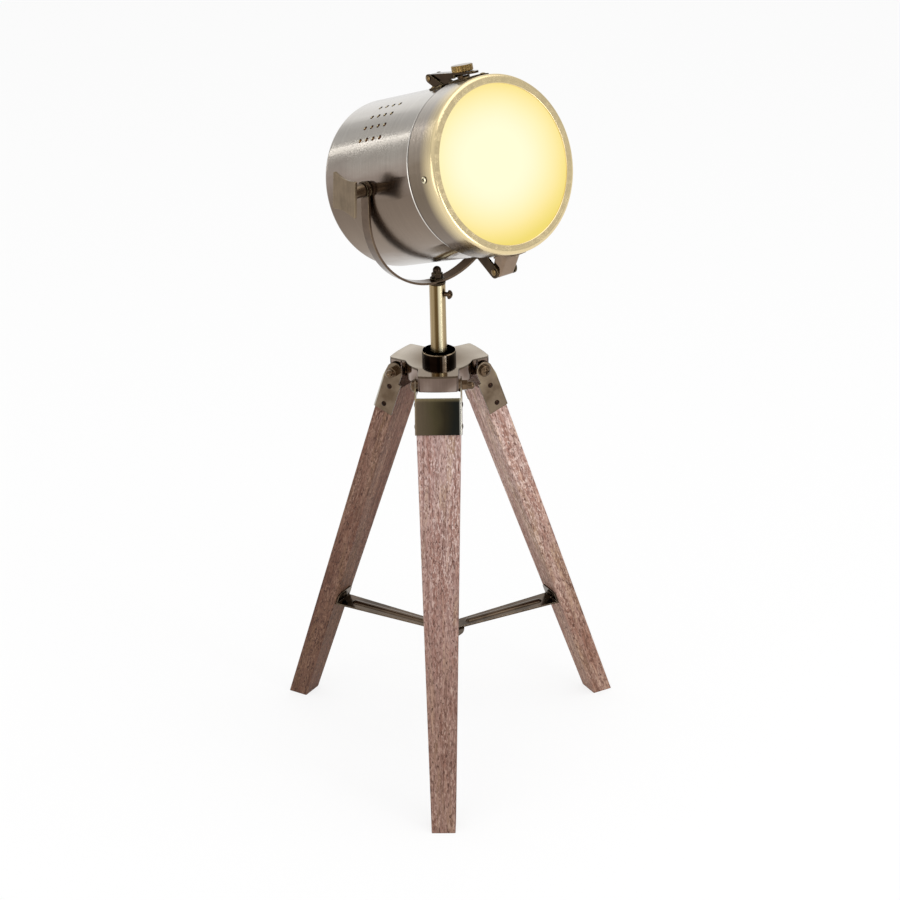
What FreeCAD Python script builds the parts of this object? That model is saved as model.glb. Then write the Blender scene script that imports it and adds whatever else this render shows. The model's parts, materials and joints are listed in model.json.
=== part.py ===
"""Tabletop searchlight lamp: a drum-shaped head in a yoke, on a short pole and a three-legged stand.

Millimetres, +Z up. The origin lies on the table top under the pole's axis. The lamp shines toward -Y,
its beam raised by BEAM_RISE, and the tilt axis runs along X. Local frames keep the parts simple:

* stand frame: one leg with its azimuth along +X, before it is turned to its own angle;
* board frame: +X out of a leg's outer face, +Y across it, +Z up the leaning board;
* drum frame: +Z along the beam, +Y to the top of the drum, origin on the drum's axis under the pivot;
* strap frame: the drum frame moved to the latch pin, with +Z along the strap.
"""
import FreeCAD, Part
import math
import os

V = FreeCAD.Vector
X_AXIS, Y_AXIS, Z_AXIS = V(1, 0, 0), V(0, 1, 0), V(0, 0, 1)

# ---- fits ---------------------------------------------------------------------------------------
RUN_FIT = 0.05            # radial clearance of a pin or shaft that turns in its hole
HOLE_FIT = 0.1            # clearance of a fixed bolt, tube or rivet in its hole
SEAT_FIT = 0.05           # gap under a saddle that is fixed on a curved shell
RUN_GAP = 0.2             # gap between flat faces that turn over each other
REST_GAP = 0.3            # gap between faces that come to rest on each other

# ---- legs ---------------------------------------------------------------------------------------
LEG_ANGLES = {"front_left": -131.25, "right": -11.25, "rear": 108.75}
FOOT_RADIUS = 172.0       # pole axis to a foot's outer edge
PIVOT_OUT = 33.55         # pole axis to a leg's bolt
PIVOT_UP = 388.2          # leg bolt, up the board and in from its outer face
PIVOT_IN = 8.4
BOARD_THICK = 18.2
BOARD_WIDTH = 38.1
BOARD_SHORT = 13.8        # board's top below the leg bolt
BOARD_ROUND = 0.8
FOOT_WIDTH = 20.7

# ---- leg brackets -------------------------------------------------------------------------------
BRACKET_SHEET = 1.2
BRACKET_TALL = 42.2       # foot of the bracket, where the board's taper starts, below the leg bolt
BRACKET_FRONT_DROP = 10.5
EAR_NECK_DROP = 10.0      # above this an ear is only as wide as its round end
EAR_ROUND = 7.6
SCREW_DROPS = (35.3, 16.5)
SCREW_IN = 8.2
WOOD_SCREW = 1.3
WOOD_SCREW_HEAD = 2.3
WOOD_SCREW_RISE = 0.8
WOOD_SCREW_DEPTH = 11.0   # into the wood

# ---- hub plate ----------------------------------------------------------------------------------
HUB_SHEET = 1.5
HUB_ABOVE_PIVOT = 11.2    # top of the plate over the leg bolts
HUB_VALLEY_IN = 4.55      # plate's edge between the arms, inside the leg bolts
HUB_ARM_PAST = 7.75       # arm's end beyond the leg bolt
HUB_ARM_CROWN = 1.3       # how far an arm's end bulges
HUB_SKIRT = 14.6
HUB_OUTER_ROUND = 2.2
HUB_INNER_ROUND = 5.0
LUG_ROUND = 5.0
RELIEF_SLOT = 1.3

# ---- leg bolts ----------------------------------------------------------------------------------
LEG_BOLT = 2.5
LEG_BOLT_HEAD = 4.95
LEG_BOLT_HEAD_TALL = 3.1
LEG_WASHER = 5.6
LEG_WASHER_THICK = 1.2
LUG_WASHER_THICK = 1.65   # between a lug and an ear
SLEEVE_WALL = 1.4
LEG_NUT_FLATS = 8.4
LEG_NUT_HEX = 4.6
LEG_NUT_TALL = 11.2

# ---- brace between the legs ---------------------------------------------------------------------
BRACE_HIGH = 108.3        # underside of the arms
BRACE_SHEET = 1.5
BRACE_START = 4.6
BRACE_WIDTH_IN = 13.0
BRACE_WIDTH_OUT = 21.5
BRACE_TAB = 12.5
BRACE_TAB_ROUND = 3.0
BEAD_HALF = 3.6           # half width of the pressed bead along an arm
BEAD_RISE = 2.0
BEAD_START = 24.0
BEAD_SHORT = 16.8         # bead's end before the arm's
BRACE_DISC = 17.0
BRACE_RIVET_OUT = 11.5
BRACE_SCREW_HEAD = 3.4
BRACE_SCREW_UP = 7.2      # up the tab

# ---- pole ---------------------------------------------------------------------------------------
POLE_RADIUS = 7.05
POLE_HEIGHT = 69.7        # above the hub plate
POLE_CHAMFER = 0.4
POLE_BORE_DEEP = 49.3
SPIGOT_RADIUS = 5.0
SPIGOT_LONG = 12.5        # below the hub plate's top
POLE_NUT_FLATS = 14.0
POLE_NUT_THICK = 5.0
POLE_WASHER = 9.5
POLE_WASHER_THICK = 1.5
COLLAR_RADIUS = 14.9
COLLAR_TALL = 8.2
COLLAR_CHAMFER = 0.6

# ---- swivel and its lock screw ------------------------------------------------------------------
STUD_RADIUS = 4.0
STUD_SHORT = 2.0          # stud's end above the bottom of the pole's bore
STUD_THREAD = 2.5
GROOVE_DEEP = 0.6
GROOVE_TALL = 9.0
LOCK_DOWN = 9.2           # lock screw, below the pole's top
LOCK_ANGLE = -62.0        # azimuth that it points to
LOCK_SHANK = 2.0
LOCK_NECK = 3.4           # bare shank between the pole and the head
LOCK_HEAD = 3.95
LOCK_HEAD_TALL = 3.3
SWIVEL_WASHER = 7.3
SWIVEL_WASHER_THICK = 1.5
TOP_WASHER = 6.2
TOP_WASHER_THICK = 1.2
SWIVEL_NUT_FLATS = 8.6
SWIVEL_NUT_HEX = 4.4
SWIVEL_NUT_TALL = 10.3

# ---- drum ---------------------------------------------------------------------------------------
BEAM_RISE = 19.28         # degrees over level at rest
AXIS_DROP = 5.0           # drum axis below the tilt axis
DRUM_RADIUS = 71.6
DRUM_WALL = 1.0
DRUM_BACK = -62.5
DRUM_FRONT = 59.3
DRUM_ROUND = 5.0
DRUM_BEAD = 0.9           # radius of the rolled rim
NECK_STEP = 1.2           # the spigot that the door closes over is this much smaller
NECK_LONG = 6.7
VENT_RADIUS = 2.0
VENT_COUNT = 4            # each way, on both sides
VENT_CENTRE = -0.9        # along the drum
VENT_PITCH = 9.3
VENT_FIRST_ANGLE = 23.4   # degrees from the top of the drum
VENT_STEP_ANGLE = 9.7

# ---- yoke ---------------------------------------------------------------------------------------
YOKE_SIDE_GAP = 1.4       # between the drum and an arm
YOKE_SHEET = 2.0
YOKE_BAND = 10.1
YOKE_ARM = 24.4           # tilt axis down to the centre of the half circle
YOKE_EYE = 6.6

# ---- tilt knobs ---------------------------------------------------------------------------------
TILT_STUD = 3.0
TILT_SPACER = 6.6
TILT_WASHER = 7.0
TILT_WASHER_THICK = 1.5
KNOB_STEM = 5.7
KNOB_STEM_LONG = 17.2
KNOB_WIDE = 29.0
KNOB_TALL = 33.0
KNOB_THICK = 2.1
KNOB_WAIST = 2.5          # how far the plate's ends curve in
KNOB_CORNER = 1.2
KNOB_LEAN = 5.0           # degrees that the plate leans forward of upright
WELD_NUT_FLATS = 12.0
WELD_NUT_THICK = 5.5
STUD_PAST_NUT = 1.0

# ---- door: bezel, lens and their fixings --------------------------------------------------------
SEAM_GAP = 1.5
BEZEL_OVER = 1.8          # bezel's radius over the drum's
BEZEL_SHEET = 1.2
BEZEL_LONG = 32.65
BEZEL_ROUND = 3.0
BEZEL_LIP = 7.9           # width of its front
BEZEL_LIP_ROUND = 0.6
LENS_EDGE_GAP = 1.2
LENS_THICK = 3.0
LENS_ROUND = 0.6
BEZEL_SCREW_BACK = 12.45  # behind the bezel's front
BEZEL_SCREW_ANGLE = 86.6  # degrees from the top of the bezel, on both sides
BEZEL_SCREW_HEAD = 2.95
BEZEL_SCREW_RISE = 1.6
CLIP_HALF = 4.5
CLIP_SHEET = 0.9
CLIP_LONG = 14.0
CLIP_REACH = 8.0

# ---- rivets -------------------------------------------------------------------------------------
RIVET = 1.3
RIVET_HEAD = 2.3
RIVET_RISE = 1.1
RIVET_TAIL = 0.8          # shank that shows inside the shell

# ---- door hinge under the drum; places along it count from the drum's rim -------------------------
HINGE_OUT = 13.7          # hinge axis outside the drum
HINGE_AHEAD = 1.05
HINGE_PIN = 1.6
HINGE_PIN_HEAD = 2.9
HINGE_PIN_HEAD_TALL = 1.2
HINGE_SHEET = 1.5
HINGE_EAR_INSIDE = 9.0
HINGE_EAR_ROUND = 5.2
HINGE_BASE_BEHIND = (24.3, 2.8)
HINGE_EAR_BEHIND = 16.2
HINGE_RIVETS_BEHIND = (20.3, 10.3)
LEAF_ROUND = 5.2
LEAF_CORNER = 2.4         # rounding of the leaf's front where it turns into a cheek
LEAF_AHEAD = (2.9, 24.7)
LEAF_CHEEK_AHEAD = 18.7
LEAF_RIVETS_AHEAD = (10.7, 21.5)

# ---- latch on top of the drum; places along it count from the drum's rim --------------------------
LATCH_OUT = 8.6           # latch pin outside the drum
LATCH_BEHIND = 30.2
LATCH_ANGLE = 5.6         # degrees that the strap falls toward the front
LATCH_PIN = 1.5
LATCH_PIN_HEAD = 2.4
LATCH_PIN_HEAD_TALL = 1.1
LATCH_BARREL = 3.2
STRAP_SHEET = 1.8
STRAP_LONG = 55.5
STRAP_CORNER = 3.6
STRAP_SIDE = 1.3          # sheet of the strap's downturned sides
STRAP_SIDE_LONG = 32.0
STRAP_SIDE_DROP = 1.5     # front end of a side, below the line from the pin along the strap
STRAP_SCREW_AT = 38.6     # thumb screw, along the strap from the pin
SADDLE_BEHIND = (25.8, 9.8)
SADDLE_HALF = 11.4
SADDLE_SHEET = 1.3
LATCH_EAR_INSIDE = 4.9
LATCH_EAR_SHEET = 1.4
LATCH_EAR_BEHIND = 11.8
LATCH_EAR_ROUND = 3.6
SADDLE_RIVET_SIDE = 8.9
SADDLE_RIVETS_BEHIND = (22.4, 13.2)
CATCH_AHEAD = (2.7, 25.7)
CATCH_HALF = 12.0
CATCH_BOSS = 5.2
CATCH_GAP = 0.9           # boss under the strap, enough for the door to swing out past it
CATCH_RIVETS_AHEAD = 22.1
CATCH_RIVET_SIDE = 8.6
THUMB_RADIUS = 8.9
THUMB_TALL = 5.5
THUMB_CHAMFER = 0.5
THUMB_SHANK = 2.5
THUMB_FLUTE_COUNT = 24
THUMB_FLUTE = 0.55

# ---- lampholder, bulb and cord inlet ------------------------------------------------------------
HOLDER_RADIUS = 19.5
HOLDER_NECK = 14.0
HOLDER_NECK_LONG = 14.4
HOLDER_LONG = 46.4
BULB_CAP = 13.2
BULB_CAP_DEEP = 24.0      # cap inside the lampholder
BULB_CAP_PROUD = 2.0      # and in front of it
BULB_NECK = 14.4
BULB_RADIUS = 30.0
BULB_LONG = 45.0          # cap to the centre of the round end
BULB_GLASS = 1.0
NIPPLE_RADIUS = 5.0
NIPPLE_BORE = 3.6
NIPPLE_BEHIND = 10.5      # behind the drum
NIPPLE_IN_HOLDER = 9.4
INLET_NUT_FLATS = 15.0
INLET_NUT_THICK = 3.0
GLAND_RADIUS = 8.0
GLAND_TIP = 5.6
GLAND_LONG = 16.0
GLAND_BORE = 3.25

# ---- worked out from the driving sizes ----------------------------------------------------------
LEAN = (math.asin((FOOT_RADIUS - PIVOT_OUT) / math.hypot(PIVOT_IN, PIVOT_UP))
        - math.atan2(PIVOT_IN, PIVOT_UP))
PIVOT_HIGH = PIVOT_UP * math.cos(LEAN) - PIVOT_IN * math.sin(LEAN)
BOARD_TOP = PIVOT_UP - BOARD_SHORT
BRACKET_FOOT = PIVOT_UP - BRACKET_TALL
BRACKET_FRONT_TOP = PIVOT_UP - BRACKET_FRONT_DROP
EAR_NECK = PIVOT_UP - EAR_NECK_DROP
EAR_OUTER = BOARD_WIDTH / 2 + BRACKET_SHEET
HUB_TOP = PIVOT_HIGH + HUB_ABOVE_PIVOT
HUB_UNDER = HUB_TOP - HUB_SHEET
HUB_DISC = PIVOT_OUT - HUB_VALLEY_IN
HUB_ARM_END = PIVOT_OUT + HUB_ARM_PAST
HUB_ARM_HALF = BOARD_WIDTH / 2 - LUG_WASHER_THICK
LUG_INNER = HUB_ARM_HALF - HUB_SHEET
POLE_TOP = HUB_TOP + POLE_HEIGHT
YOKE_UNDER = POLE_TOP + RUN_GAP + SWIVEL_WASHER_THICK
YOKE_BORE = DRUM_RADIUS + YOKE_SIDE_GAP
YOKE_HALF = YOKE_BORE + YOKE_SHEET
TOP_WASHER_SEAT = (YOKE_UNDER + YOKE_SHEET + YOKE_BORE
                   - math.sqrt(YOKE_BORE ** 2 - TOP_WASHER ** 2) + SEAT_FIT)
TILT_HIGH = YOKE_UNDER + YOKE_HALF + YOKE_ARM
DRUM_BORE = DRUM_RADIUS - DRUM_WALL
NECK_RADIUS = DRUM_RADIUS - NECK_STEP
WELD_NUT_SEAT = (math.sqrt(DRUM_BORE ** 2 - (AXIS_DROP + WELD_NUT_FLATS / math.sqrt(3)) ** 2)
                 - SEAT_FIT)
KNOB_SEAT = YOKE_HALF + TILT_WASHER_THICK + RUN_GAP
BEZEL_RADIUS = DRUM_RADIUS + BEZEL_OVER
BEZEL_BORE = BEZEL_RADIUS - BEZEL_SHEET
BEZEL_BACK = DRUM_FRONT + SEAM_GAP
BEZEL_FRONT = BEZEL_BACK + BEZEL_LONG
LENS_OPENING = BEZEL_RADIUS - BEZEL_LIP
LENS_RADIUS = BEZEL_BORE - LENS_EDGE_GAP
LENS_FRONT = BEZEL_FRONT - BEZEL_SHEET - HOLE_FIT
LENS_BACK = LENS_FRONT - LENS_THICK
HINGE_DROP = DRUM_RADIUS + HINGE_OUT
HINGE_AT = DRUM_FRONT + HINGE_AHEAD
HINGE_EAR_OUTSIDE = HINGE_EAR_INSIDE + HINGE_SHEET
LEAF_HALF = HINGE_EAR_INSIDE - REST_GAP
LATCH_RISE = DRUM_RADIUS + LATCH_OUT
LATCH_AT = DRUM_FRONT - LATCH_BEHIND
LATCH_EAR_OUTSIDE = LATCH_EAR_INSIDE + LATCH_EAR_SHEET
STRAP_HALF = LATCH_EAR_INSIDE - REST_GAP
STRAP_UNDER = LATCH_BARREL - STRAP_SHEET
CATCH_RIVET_AT = DRUM_FRONT + CATCH_RIVETS_AHEAD
HOLDER_BACK = DRUM_BACK + DRUM_WALL + INLET_NUT_THICK + HOLE_FIT
HOLDER_FRONT = HOLDER_BACK + HOLDER_LONG
BULB_CAP_BACK = HOLDER_FRONT - BULB_CAP_DEEP
BULB_SEAT = HOLDER_FRONT + BULB_CAP_PROUD
BULB_CENTRE = BULB_SEAT + BULB_LONG
GLAND_STOP = DRUM_BACK - NIPPLE_BEHIND - REST_GAP
DRILL = 5.0               # reach of a drill each way from a shell's face
OVERCUT = 1.0             # how far a cutting tool runs past what it cuts
CLOSE = 1e-3              # lengths below this count as none
FAR = 500.0               # reach of a cutting tool that goes right through


# ---- outlines and plain solids ------------------------------------------------------------------
def outline(start, *moves):
    """Closed wire in the XY plane; a move is an end point, or (middle point, end point) of an arc."""
    edges = []
    here = V(*start)
    for move in moves + (start,):
        if isinstance(move[0], tuple):
            end = V(*move[1])
            edges.append(Part.Arc(here, V(*move[0]), end).toShape())
        else:
            end = V(*move)
            if here.distanceToPoint(end) > 1e-6:
                edges.append(Part.LineSegment(here, end).toShape())
        here = end
    return Part.Wire(edges)


def tangent(point, centre, radius, side):
    """Where the line from a point touches a circle, on its side +1 or -1."""
    across, up = point[0] - centre[0], point[1] - centre[1]
    angle = math.atan2(up, across) + side * math.acos(radius / math.hypot(across, up))
    return (centre[0] + radius * math.cos(angle), centre[1] + radius * math.sin(angle))


def lug_outline(first, last, centre, radius):
    """Outline of a lug that runs from two foot points to a round end about a centre."""
    foot = ((first[0] + last[0]) / 2, (first[1] + last[1]) / 2)
    reach = math.hypot(centre[0] - foot[0], centre[1] - foot[1])
    tip = tuple(centre[i] + radius * (centre[i] - foot[i]) / reach for i in (0, 1))
    turn = ((last[0] - first[0]) * (centre[1] - first[1])
            - (last[1] - first[1]) * (centre[0] - first[0]))
    side = -1 if turn < 0 else 1
    return outline(first, tangent(first, centre, radius, -side),
                   (tip, tangent(last, centre, radius, side)), last)


def slab(wire, low, high):
    """Solid over a wire in the XY plane, from z = low to z = high."""
    solid = Part.Face(wire).extrude(V(0, 0, high - low))
    solid.translate(V(0, 0, low))
    return solid


def slab_along_x(wire, low, high):
    """Solid whose outline is drawn as (y, z), from x = low to x = high."""
    solid = slab(wire, low, high)
    solid.rotate(V(), V(1, 1, 1), 120)
    return solid


def slab_along_y(wire, low, high):
    """Solid whose outline is drawn as (x, z), from y = low to y = high."""
    solid = slab(wire, -high, -low)
    solid.rotate(V(), X_AXIS, 90)
    return solid


def spun(wire):
    """Solid of revolution about Z from an outline drawn as (radius, z)."""
    face = Part.Face(wire)
    face.rotate(V(), X_AXIS, 90)
    return face.revolve(V(), Z_AXIS, 360)


def rod(radius, low, high):
    """Round rod along Z."""
    return Part.makeCylinder(radius, high - low, V(0, 0, low))


def tube(outer, inner, low, high):
    """Round tube or washer along Z."""
    return rod(outer, low, high).cut(rod(inner, low, high))


def block(low, high):
    """Box between two corners."""
    size = [high[i] - low[i] for i in range(3)]
    return Part.makeBox(*size, V(*low))


def hexagon(flats, low, high):
    """Hexagonal prism along Z, measured across its flats."""
    corner = flats / math.sqrt(3)
    angles = [math.radians(30 + 60 * i) for i in range(6)]
    points = [(corner * math.cos(angle), corner * math.sin(angle)) for angle in angles]
    return slab(outline(*points), low, high)


def moved(shape, placement):
    """Copy of a shape, carried by a placement."""
    copy = shape.copy()
    copy.Placement = placement.multiply(copy.Placement)
    return copy


def aimed(origin, direction):
    """Placement that takes the origin to a point and +Z to a direction."""
    return FreeCAD.Placement(V(*origin), FreeCAD.Rotation(Z_AXIS, V(*direction)))


def cut_all(shape, tools):
    """Shape with every tool cut away."""
    for tool in tools:
        shape = shape.cut(tool)
    return shape


def fuse_all(shapes):
    """One solid from shapes that touch."""
    body = shapes[0]
    for shape in shapes[1:]:
        body = body.fuse(shape)
    return body.removeSplitter()


def upright_edges(shape, low, high):
    """Straight edges along Z that run from low to high."""
    return [edge for edge in shape.Edges
            if len(edge.Vertexes) == 2
            and math.hypot(edge.BoundBox.XLength, edge.BoundBox.YLength) < CLOSE
            and abs(edge.BoundBox.ZMin - low) < CLOSE and abs(edge.BoundBox.ZMax - high) < CLOSE]


# ---- fasteners, each standing on z = 0 with its shank running down -------------------------------
def domed_head(radius, rise):
    """Low dome with a short upright flank."""
    flank = 0.35 * rise
    dome = rise - flank
    ball = (radius ** 2 + dome ** 2) / (2 * dome)
    half_turn = math.asin(radius / ball) / 2
    shoulder = (ball * math.sin(half_turn), rise - ball * (1 - math.cos(half_turn)))
    return spun(outline((0, 0), (radius, 0), (radius, flank), (shoulder, (0, rise))))


def rivet(length):
    """Round-head rivet."""
    return domed_head(RIVET_HEAD, RIVET_RISE).fuse(rod(RIVET, -length, 0))


def pan_screw(head, rise, shank, length):
    """Pan-head screw with a cross recess."""
    arm, blade = 0.55 * head, 0.14 * head
    bars = [block((-a, -b, 0.5 * rise), (a, b, 2 * rise)) for a, b in ((arm, blade), (blade, arm))]
    return cut_all(domed_head(head, rise), bars).fuse(rod(shank, -length, 0))


def acorn_nut(flats, hex_tall, tall, thread):
    """Closed nut with a blind hole that opens downward."""
    waist, dome = 0.49 * flats, 0.43 * flats
    crown = (dome * math.sqrt(0.5), tall - dome * (1 - math.sqrt(0.5)))
    cap = spun(outline((0, 0), (waist, 0), (waist, hex_tall), (dome, hex_tall + waist - dome),
                       (dome, tall - dome), (crown, (0, tall))))
    return hexagon(flats, 0, hex_tall).fuse(cap).cut(rod(thread + HOLE_FIT, -OVERCUT, tall - dome))


# ---- frames -------------------------------------------------------------------------------------
def leg_turned(shape, turn):
    """From the stand frame to the object's."""
    return moved(shape, FreeCAD.Placement(V(), FreeCAD.Rotation(Z_AXIS, turn)))


def at_each_leg(*shapes):
    """The same pieces at each leg, as separate solids of one node."""
    return Part.makeCompound([leg_turned(shape, turn) for turn in LEG_ANGLES.values()
                              for shape in shapes])


def on_board(shape):
    """From the board frame to the stand frame."""
    lean = FreeCAD.Placement(V(FOOT_RADIUS, 0, 0), FreeCAD.Rotation(Y_AXIS, -math.degrees(LEAN)))
    return moved(shape, lean)


def on_head(shape):
    """From the drum frame to the object's."""
    turn = FreeCAD.Rotation(X_AXIS, 90 - BEAM_RISE)
    return moved(shape, FreeCAD.Placement(V(0, 0, TILT_HIGH) - turn.multVec(V(0, AXIS_DROP, 0)), turn))


def on_strap(shape):
    """From the strap frame to the drum frame."""
    return moved(shape, FreeCAD.Placement(V(0, LATCH_RISE, LATCH_AT),
                                          FreeCAD.Rotation(X_AXIS, LATCH_ANGLE)))


def round_drum(shape, angle):
    """Copy of a piece made at the top of the drum, turned about the drum's axis toward -X."""
    copy = shape.copy()
    copy.rotate(V(), Z_AXIS, angle)
    return copy


# ---- legs and their brackets --------------------------------------------------------------------
def bracket_screw_seats(side):
    """Where the wood screws enter a bracket's ears, in the board frame."""
    return [aimed((-SCREW_IN, hand * side, PIVOT_UP - drop), (0, hand, 0))
            for drop in SCREW_DROPS for hand in (-1, 1)]


def tab_seat():
    """Where the brace's screw enters a leg's inner face, in the board frame."""
    up = BRACE_HIGH / math.cos(LEAN) + BOARD_THICK * math.tan(LEAN) + BRACE_SCREW_UP
    return aimed((-BOARD_THICK - BRACE_SHEET, 0, up), (-1, 0, 0))


def leg_board():
    """Tapered board, cut level at the floor and square at the top."""
    half_foot, half_top = FOOT_WIDTH / 2, BOARD_WIDTH / 2
    front = outline((-half_foot, 0), (half_foot, 0), (half_top, BRACKET_FOOT), (half_top, BOARD_TOP),
                    (-half_top, BOARD_TOP), (-half_top, BRACKET_FOOT))
    side = outline((0, 0), (0, BOARD_TOP), (-BOARD_THICK, BOARD_TOP),
                   (-BOARD_THICK, BOARD_THICK * math.tan(LEAN)))
    board = slab_along_x(front, -BOARD_THICK, 0).common(slab_along_y(side, -BOARD_WIDTH, BOARD_WIDTH))
    board = board.makeFillet(BOARD_ROUND, [edge for edge in board.Edges if edge.Length > BOARD_TOP / 2])
    drill = rod(WOOD_SCREW + HOLE_FIT, -WOOD_SCREW_DEPTH - OVERCUT, OVERCUT)
    drills = [moved(drill, seat) for seat in bracket_screw_seats(half_top)]
    drills.append(moved(rod(WOOD_SCREW + HOLE_FIT, -WOOD_SCREW_DEPTH - BRACE_SHEET - OVERCUT, 0), tab_seat()))
    return on_board(cut_all(board, drills))


def leg_bracket():
    """Bent channel over a leg's top: a front plate and two ears with round ends."""
    crown = (-PIVOT_IN, PIVOT_UP + EAR_ROUND)
    front, back = -PIVOT_IN + EAR_ROUND, -PIVOT_IN - EAR_ROUND
    ear = outline((BRACKET_SHEET, BRACKET_FOOT), (BRACKET_SHEET, BRACKET_FRONT_TOP), (front, PIVOT_UP),
                  (crown, (back, PIVOT_UP)), (back, EAR_NECK), (-BOARD_THICK, EAR_NECK),
                  (-BOARD_THICK, BRACKET_FOOT))
    channel = slab_along_y(ear, -EAR_OUTER, EAR_OUTER)
    channel = channel.makeFillet(BRACKET_SHEET, upright_edges(channel, BRACKET_FOOT, BRACKET_FRONT_TOP))
    half = BOARD_WIDTH / 2
    pivot = moved(rod(LEG_BOLT + HOLE_FIT, -FAR, FAR), aimed((-PIVOT_IN, 0, PIVOT_UP), (0, 1, 0)))
    screws = [moved(rod(WOOD_SCREW + HOLE_FIT, -FAR, FAR), aimed((-SCREW_IN, 0, PIVOT_UP - drop), (0, 1, 0)))
              for drop in SCREW_DROPS]
    behind_front = block((-FAR, -half, 0), (0, half, FAR))
    above_front = block((-OVERCUT, -half, BRACKET_FRONT_TOP), (FAR, half, FAR))
    return on_board(cut_all(channel, [behind_front, above_front, pivot] + screws))


def bracket_screws():
    """Dome-head wood screws through both ears of a bracket."""
    screw = domed_head(WOOD_SCREW_HEAD, WOOD_SCREW_RISE)
    screw = screw.fuse(rod(WOOD_SCREW, -WOOD_SCREW_DEPTH - BRACKET_SHEET, 0))
    return [on_board(moved(screw, seat)) for seat in bracket_screw_seats(EAR_OUTER)]


# ---- hub plate and leg bolts --------------------------------------------------------------------
def hub_blank(inset, low, high):
    """Hub shape drawn in by an inset: a disc with three crowned arms, its corners rounded."""
    end, half = HUB_ARM_END - inset, HUB_ARM_HALF - inset
    arm = slab(outline((0, -half), (end - HUB_ARM_CROWN, -half), ((end, 0), (end - HUB_ARM_CROWN, half)),
                       (0, half)), low, high)
    blank = fuse_all([rod(HUB_DISC - inset, low, high)]
                     + [leg_turned(arm, turn) for turn in LEG_ANGLES.values()])
    corners = upright_edges(blank, low, high)
    middle = (HUB_DISC + HUB_ARM_END) / 2
    outer = [edge for edge in corners if edge.CenterOfMass.cross(Z_AXIS).Length > middle]
    inner = [edge for edge in corners if edge.CenterOfMass.cross(Z_AXIS).Length < middle]
    blank = blank.makeFillet(HUB_OUTER_ROUND - inset, outer)
    return blank.makeFillet(HUB_INNER_ROUND + inset, inner)


def hub_plate():
    """Pressed three-armed cap: a skirt all round, slit beside the lugs that the leg bolts cross."""
    skirt_foot = HUB_TOP - HUB_SKIRT
    cap = hub_blank(0, skirt_foot, HUB_TOP).cut(hub_blank(HUB_SHEET, skirt_foot - OVERCUT, HUB_UNDER))
    lug = outline((PIVOT_OUT - LUG_ROUND, HUB_UNDER), (PIVOT_OUT - LUG_ROUND, PIVOT_HIGH),
                  ((PIVOT_OUT, PIVOT_HIGH - LUG_ROUND), (PIVOT_OUT + LUG_ROUND, PIVOT_HIGH)),
                  (PIVOT_OUT + LUG_ROUND, HUB_UNDER))
    lugs = [slab_along_y(lug, *sorted((hand * LUG_INNER, hand * HUB_ARM_HALF))) for hand in (-1, 1)]
    slit_starts = (PIVOT_OUT - LUG_ROUND - RELIEF_SLOT, PIVOT_OUT + LUG_ROUND)
    slit_sides = ((-HUB_ARM_HALF - OVERCUT, OVERCUT - LUG_INNER),
                  (LUG_INNER - OVERCUT, HUB_ARM_HALF + OVERCUT))
    slits = [block((start, low, 0), (start + RELIEF_SLOT, high, HUB_UNDER))
             for start in slit_starts for low, high in slit_sides]
    bolt = moved(rod(LEG_BOLT + HOLE_FIT, -FAR, FAR), aimed((PIVOT_OUT, 0, PIVOT_HIGH), (0, 1, 0)))
    plate = fuse_all([cap] + [leg_turned(lug, turn) for turn in LEG_ANGLES.values() for lug in lugs])
    tools = [leg_turned(tool, turn) for turn in LEG_ANGLES.values() for tool in slits + [bolt]]
    return cut_all(plate, tools + [rod(SPIGOT_RADIUS + HOLE_FIT, 0, FAR)])


def across_leg(shape, side):
    """Carry a piece made on +Z to the leg bolt's axis, starting at a distance across the leg."""
    return moved(shape, aimed((PIVOT_OUT, side, PIVOT_HIGH), (0, math.copysign(1, side), 0)))


def leg_bolt():
    """Pan-head bolt from the clockwise ear right through to the nut."""
    length = 2 * EAR_OUTER + LEG_WASHER_THICK + LEG_NUT_HEX
    bolt = pan_screw(LEG_BOLT_HEAD, LEG_BOLT_HEAD_TALL, LEG_BOLT, length)
    return across_leg(bolt, -EAR_OUTER - LEG_WASHER_THICK)


def leg_nut():
    """Acorn nut on the counter-clockwise ear."""
    return across_leg(acorn_nut(LEG_NUT_FLATS, LEG_NUT_HEX, LEG_NUT_TALL, LEG_BOLT), EAR_OUTER)


def leg_washers():
    """One washer under the bolt's head and one between each lug and ear."""
    bore = LEG_BOLT + HOLE_FIT
    between = tube(LEG_WASHER, bore, 0, LUG_WASHER_THICK)
    return [across_leg(tube(LEG_WASHER, bore, 0, LEG_WASHER_THICK), -EAR_OUTER),
            across_leg(between, -HUB_ARM_HALF), across_leg(between, HUB_ARM_HALF)]


def leg_sleeve():
    """Spacer tube that keeps the lugs apart."""
    bore = LEG_BOLT + HOLE_FIT
    return across_leg(tube(bore + SLEEVE_WALL, bore, -2 * LUG_INNER, 0), LUG_INNER)


# ---- brace between the legs ---------------------------------------------------------------------
def inner_face_at(height):
    """Distance of a leg's inner face from the pole axis at a height."""
    return FOOT_RADIUS - BOARD_THICK / math.cos(LEAN) - height * math.tan(LEAN)


def bead(radius, low, high, height):
    """Rod along +X with round ends."""
    body = moved(rod(radius, low, high), aimed((0, 0, height), (1, 0, 0)))
    return fuse_all([body] + [Part.makeSphere(radius, V(end, 0, height)) for end in (low, high)])


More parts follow.
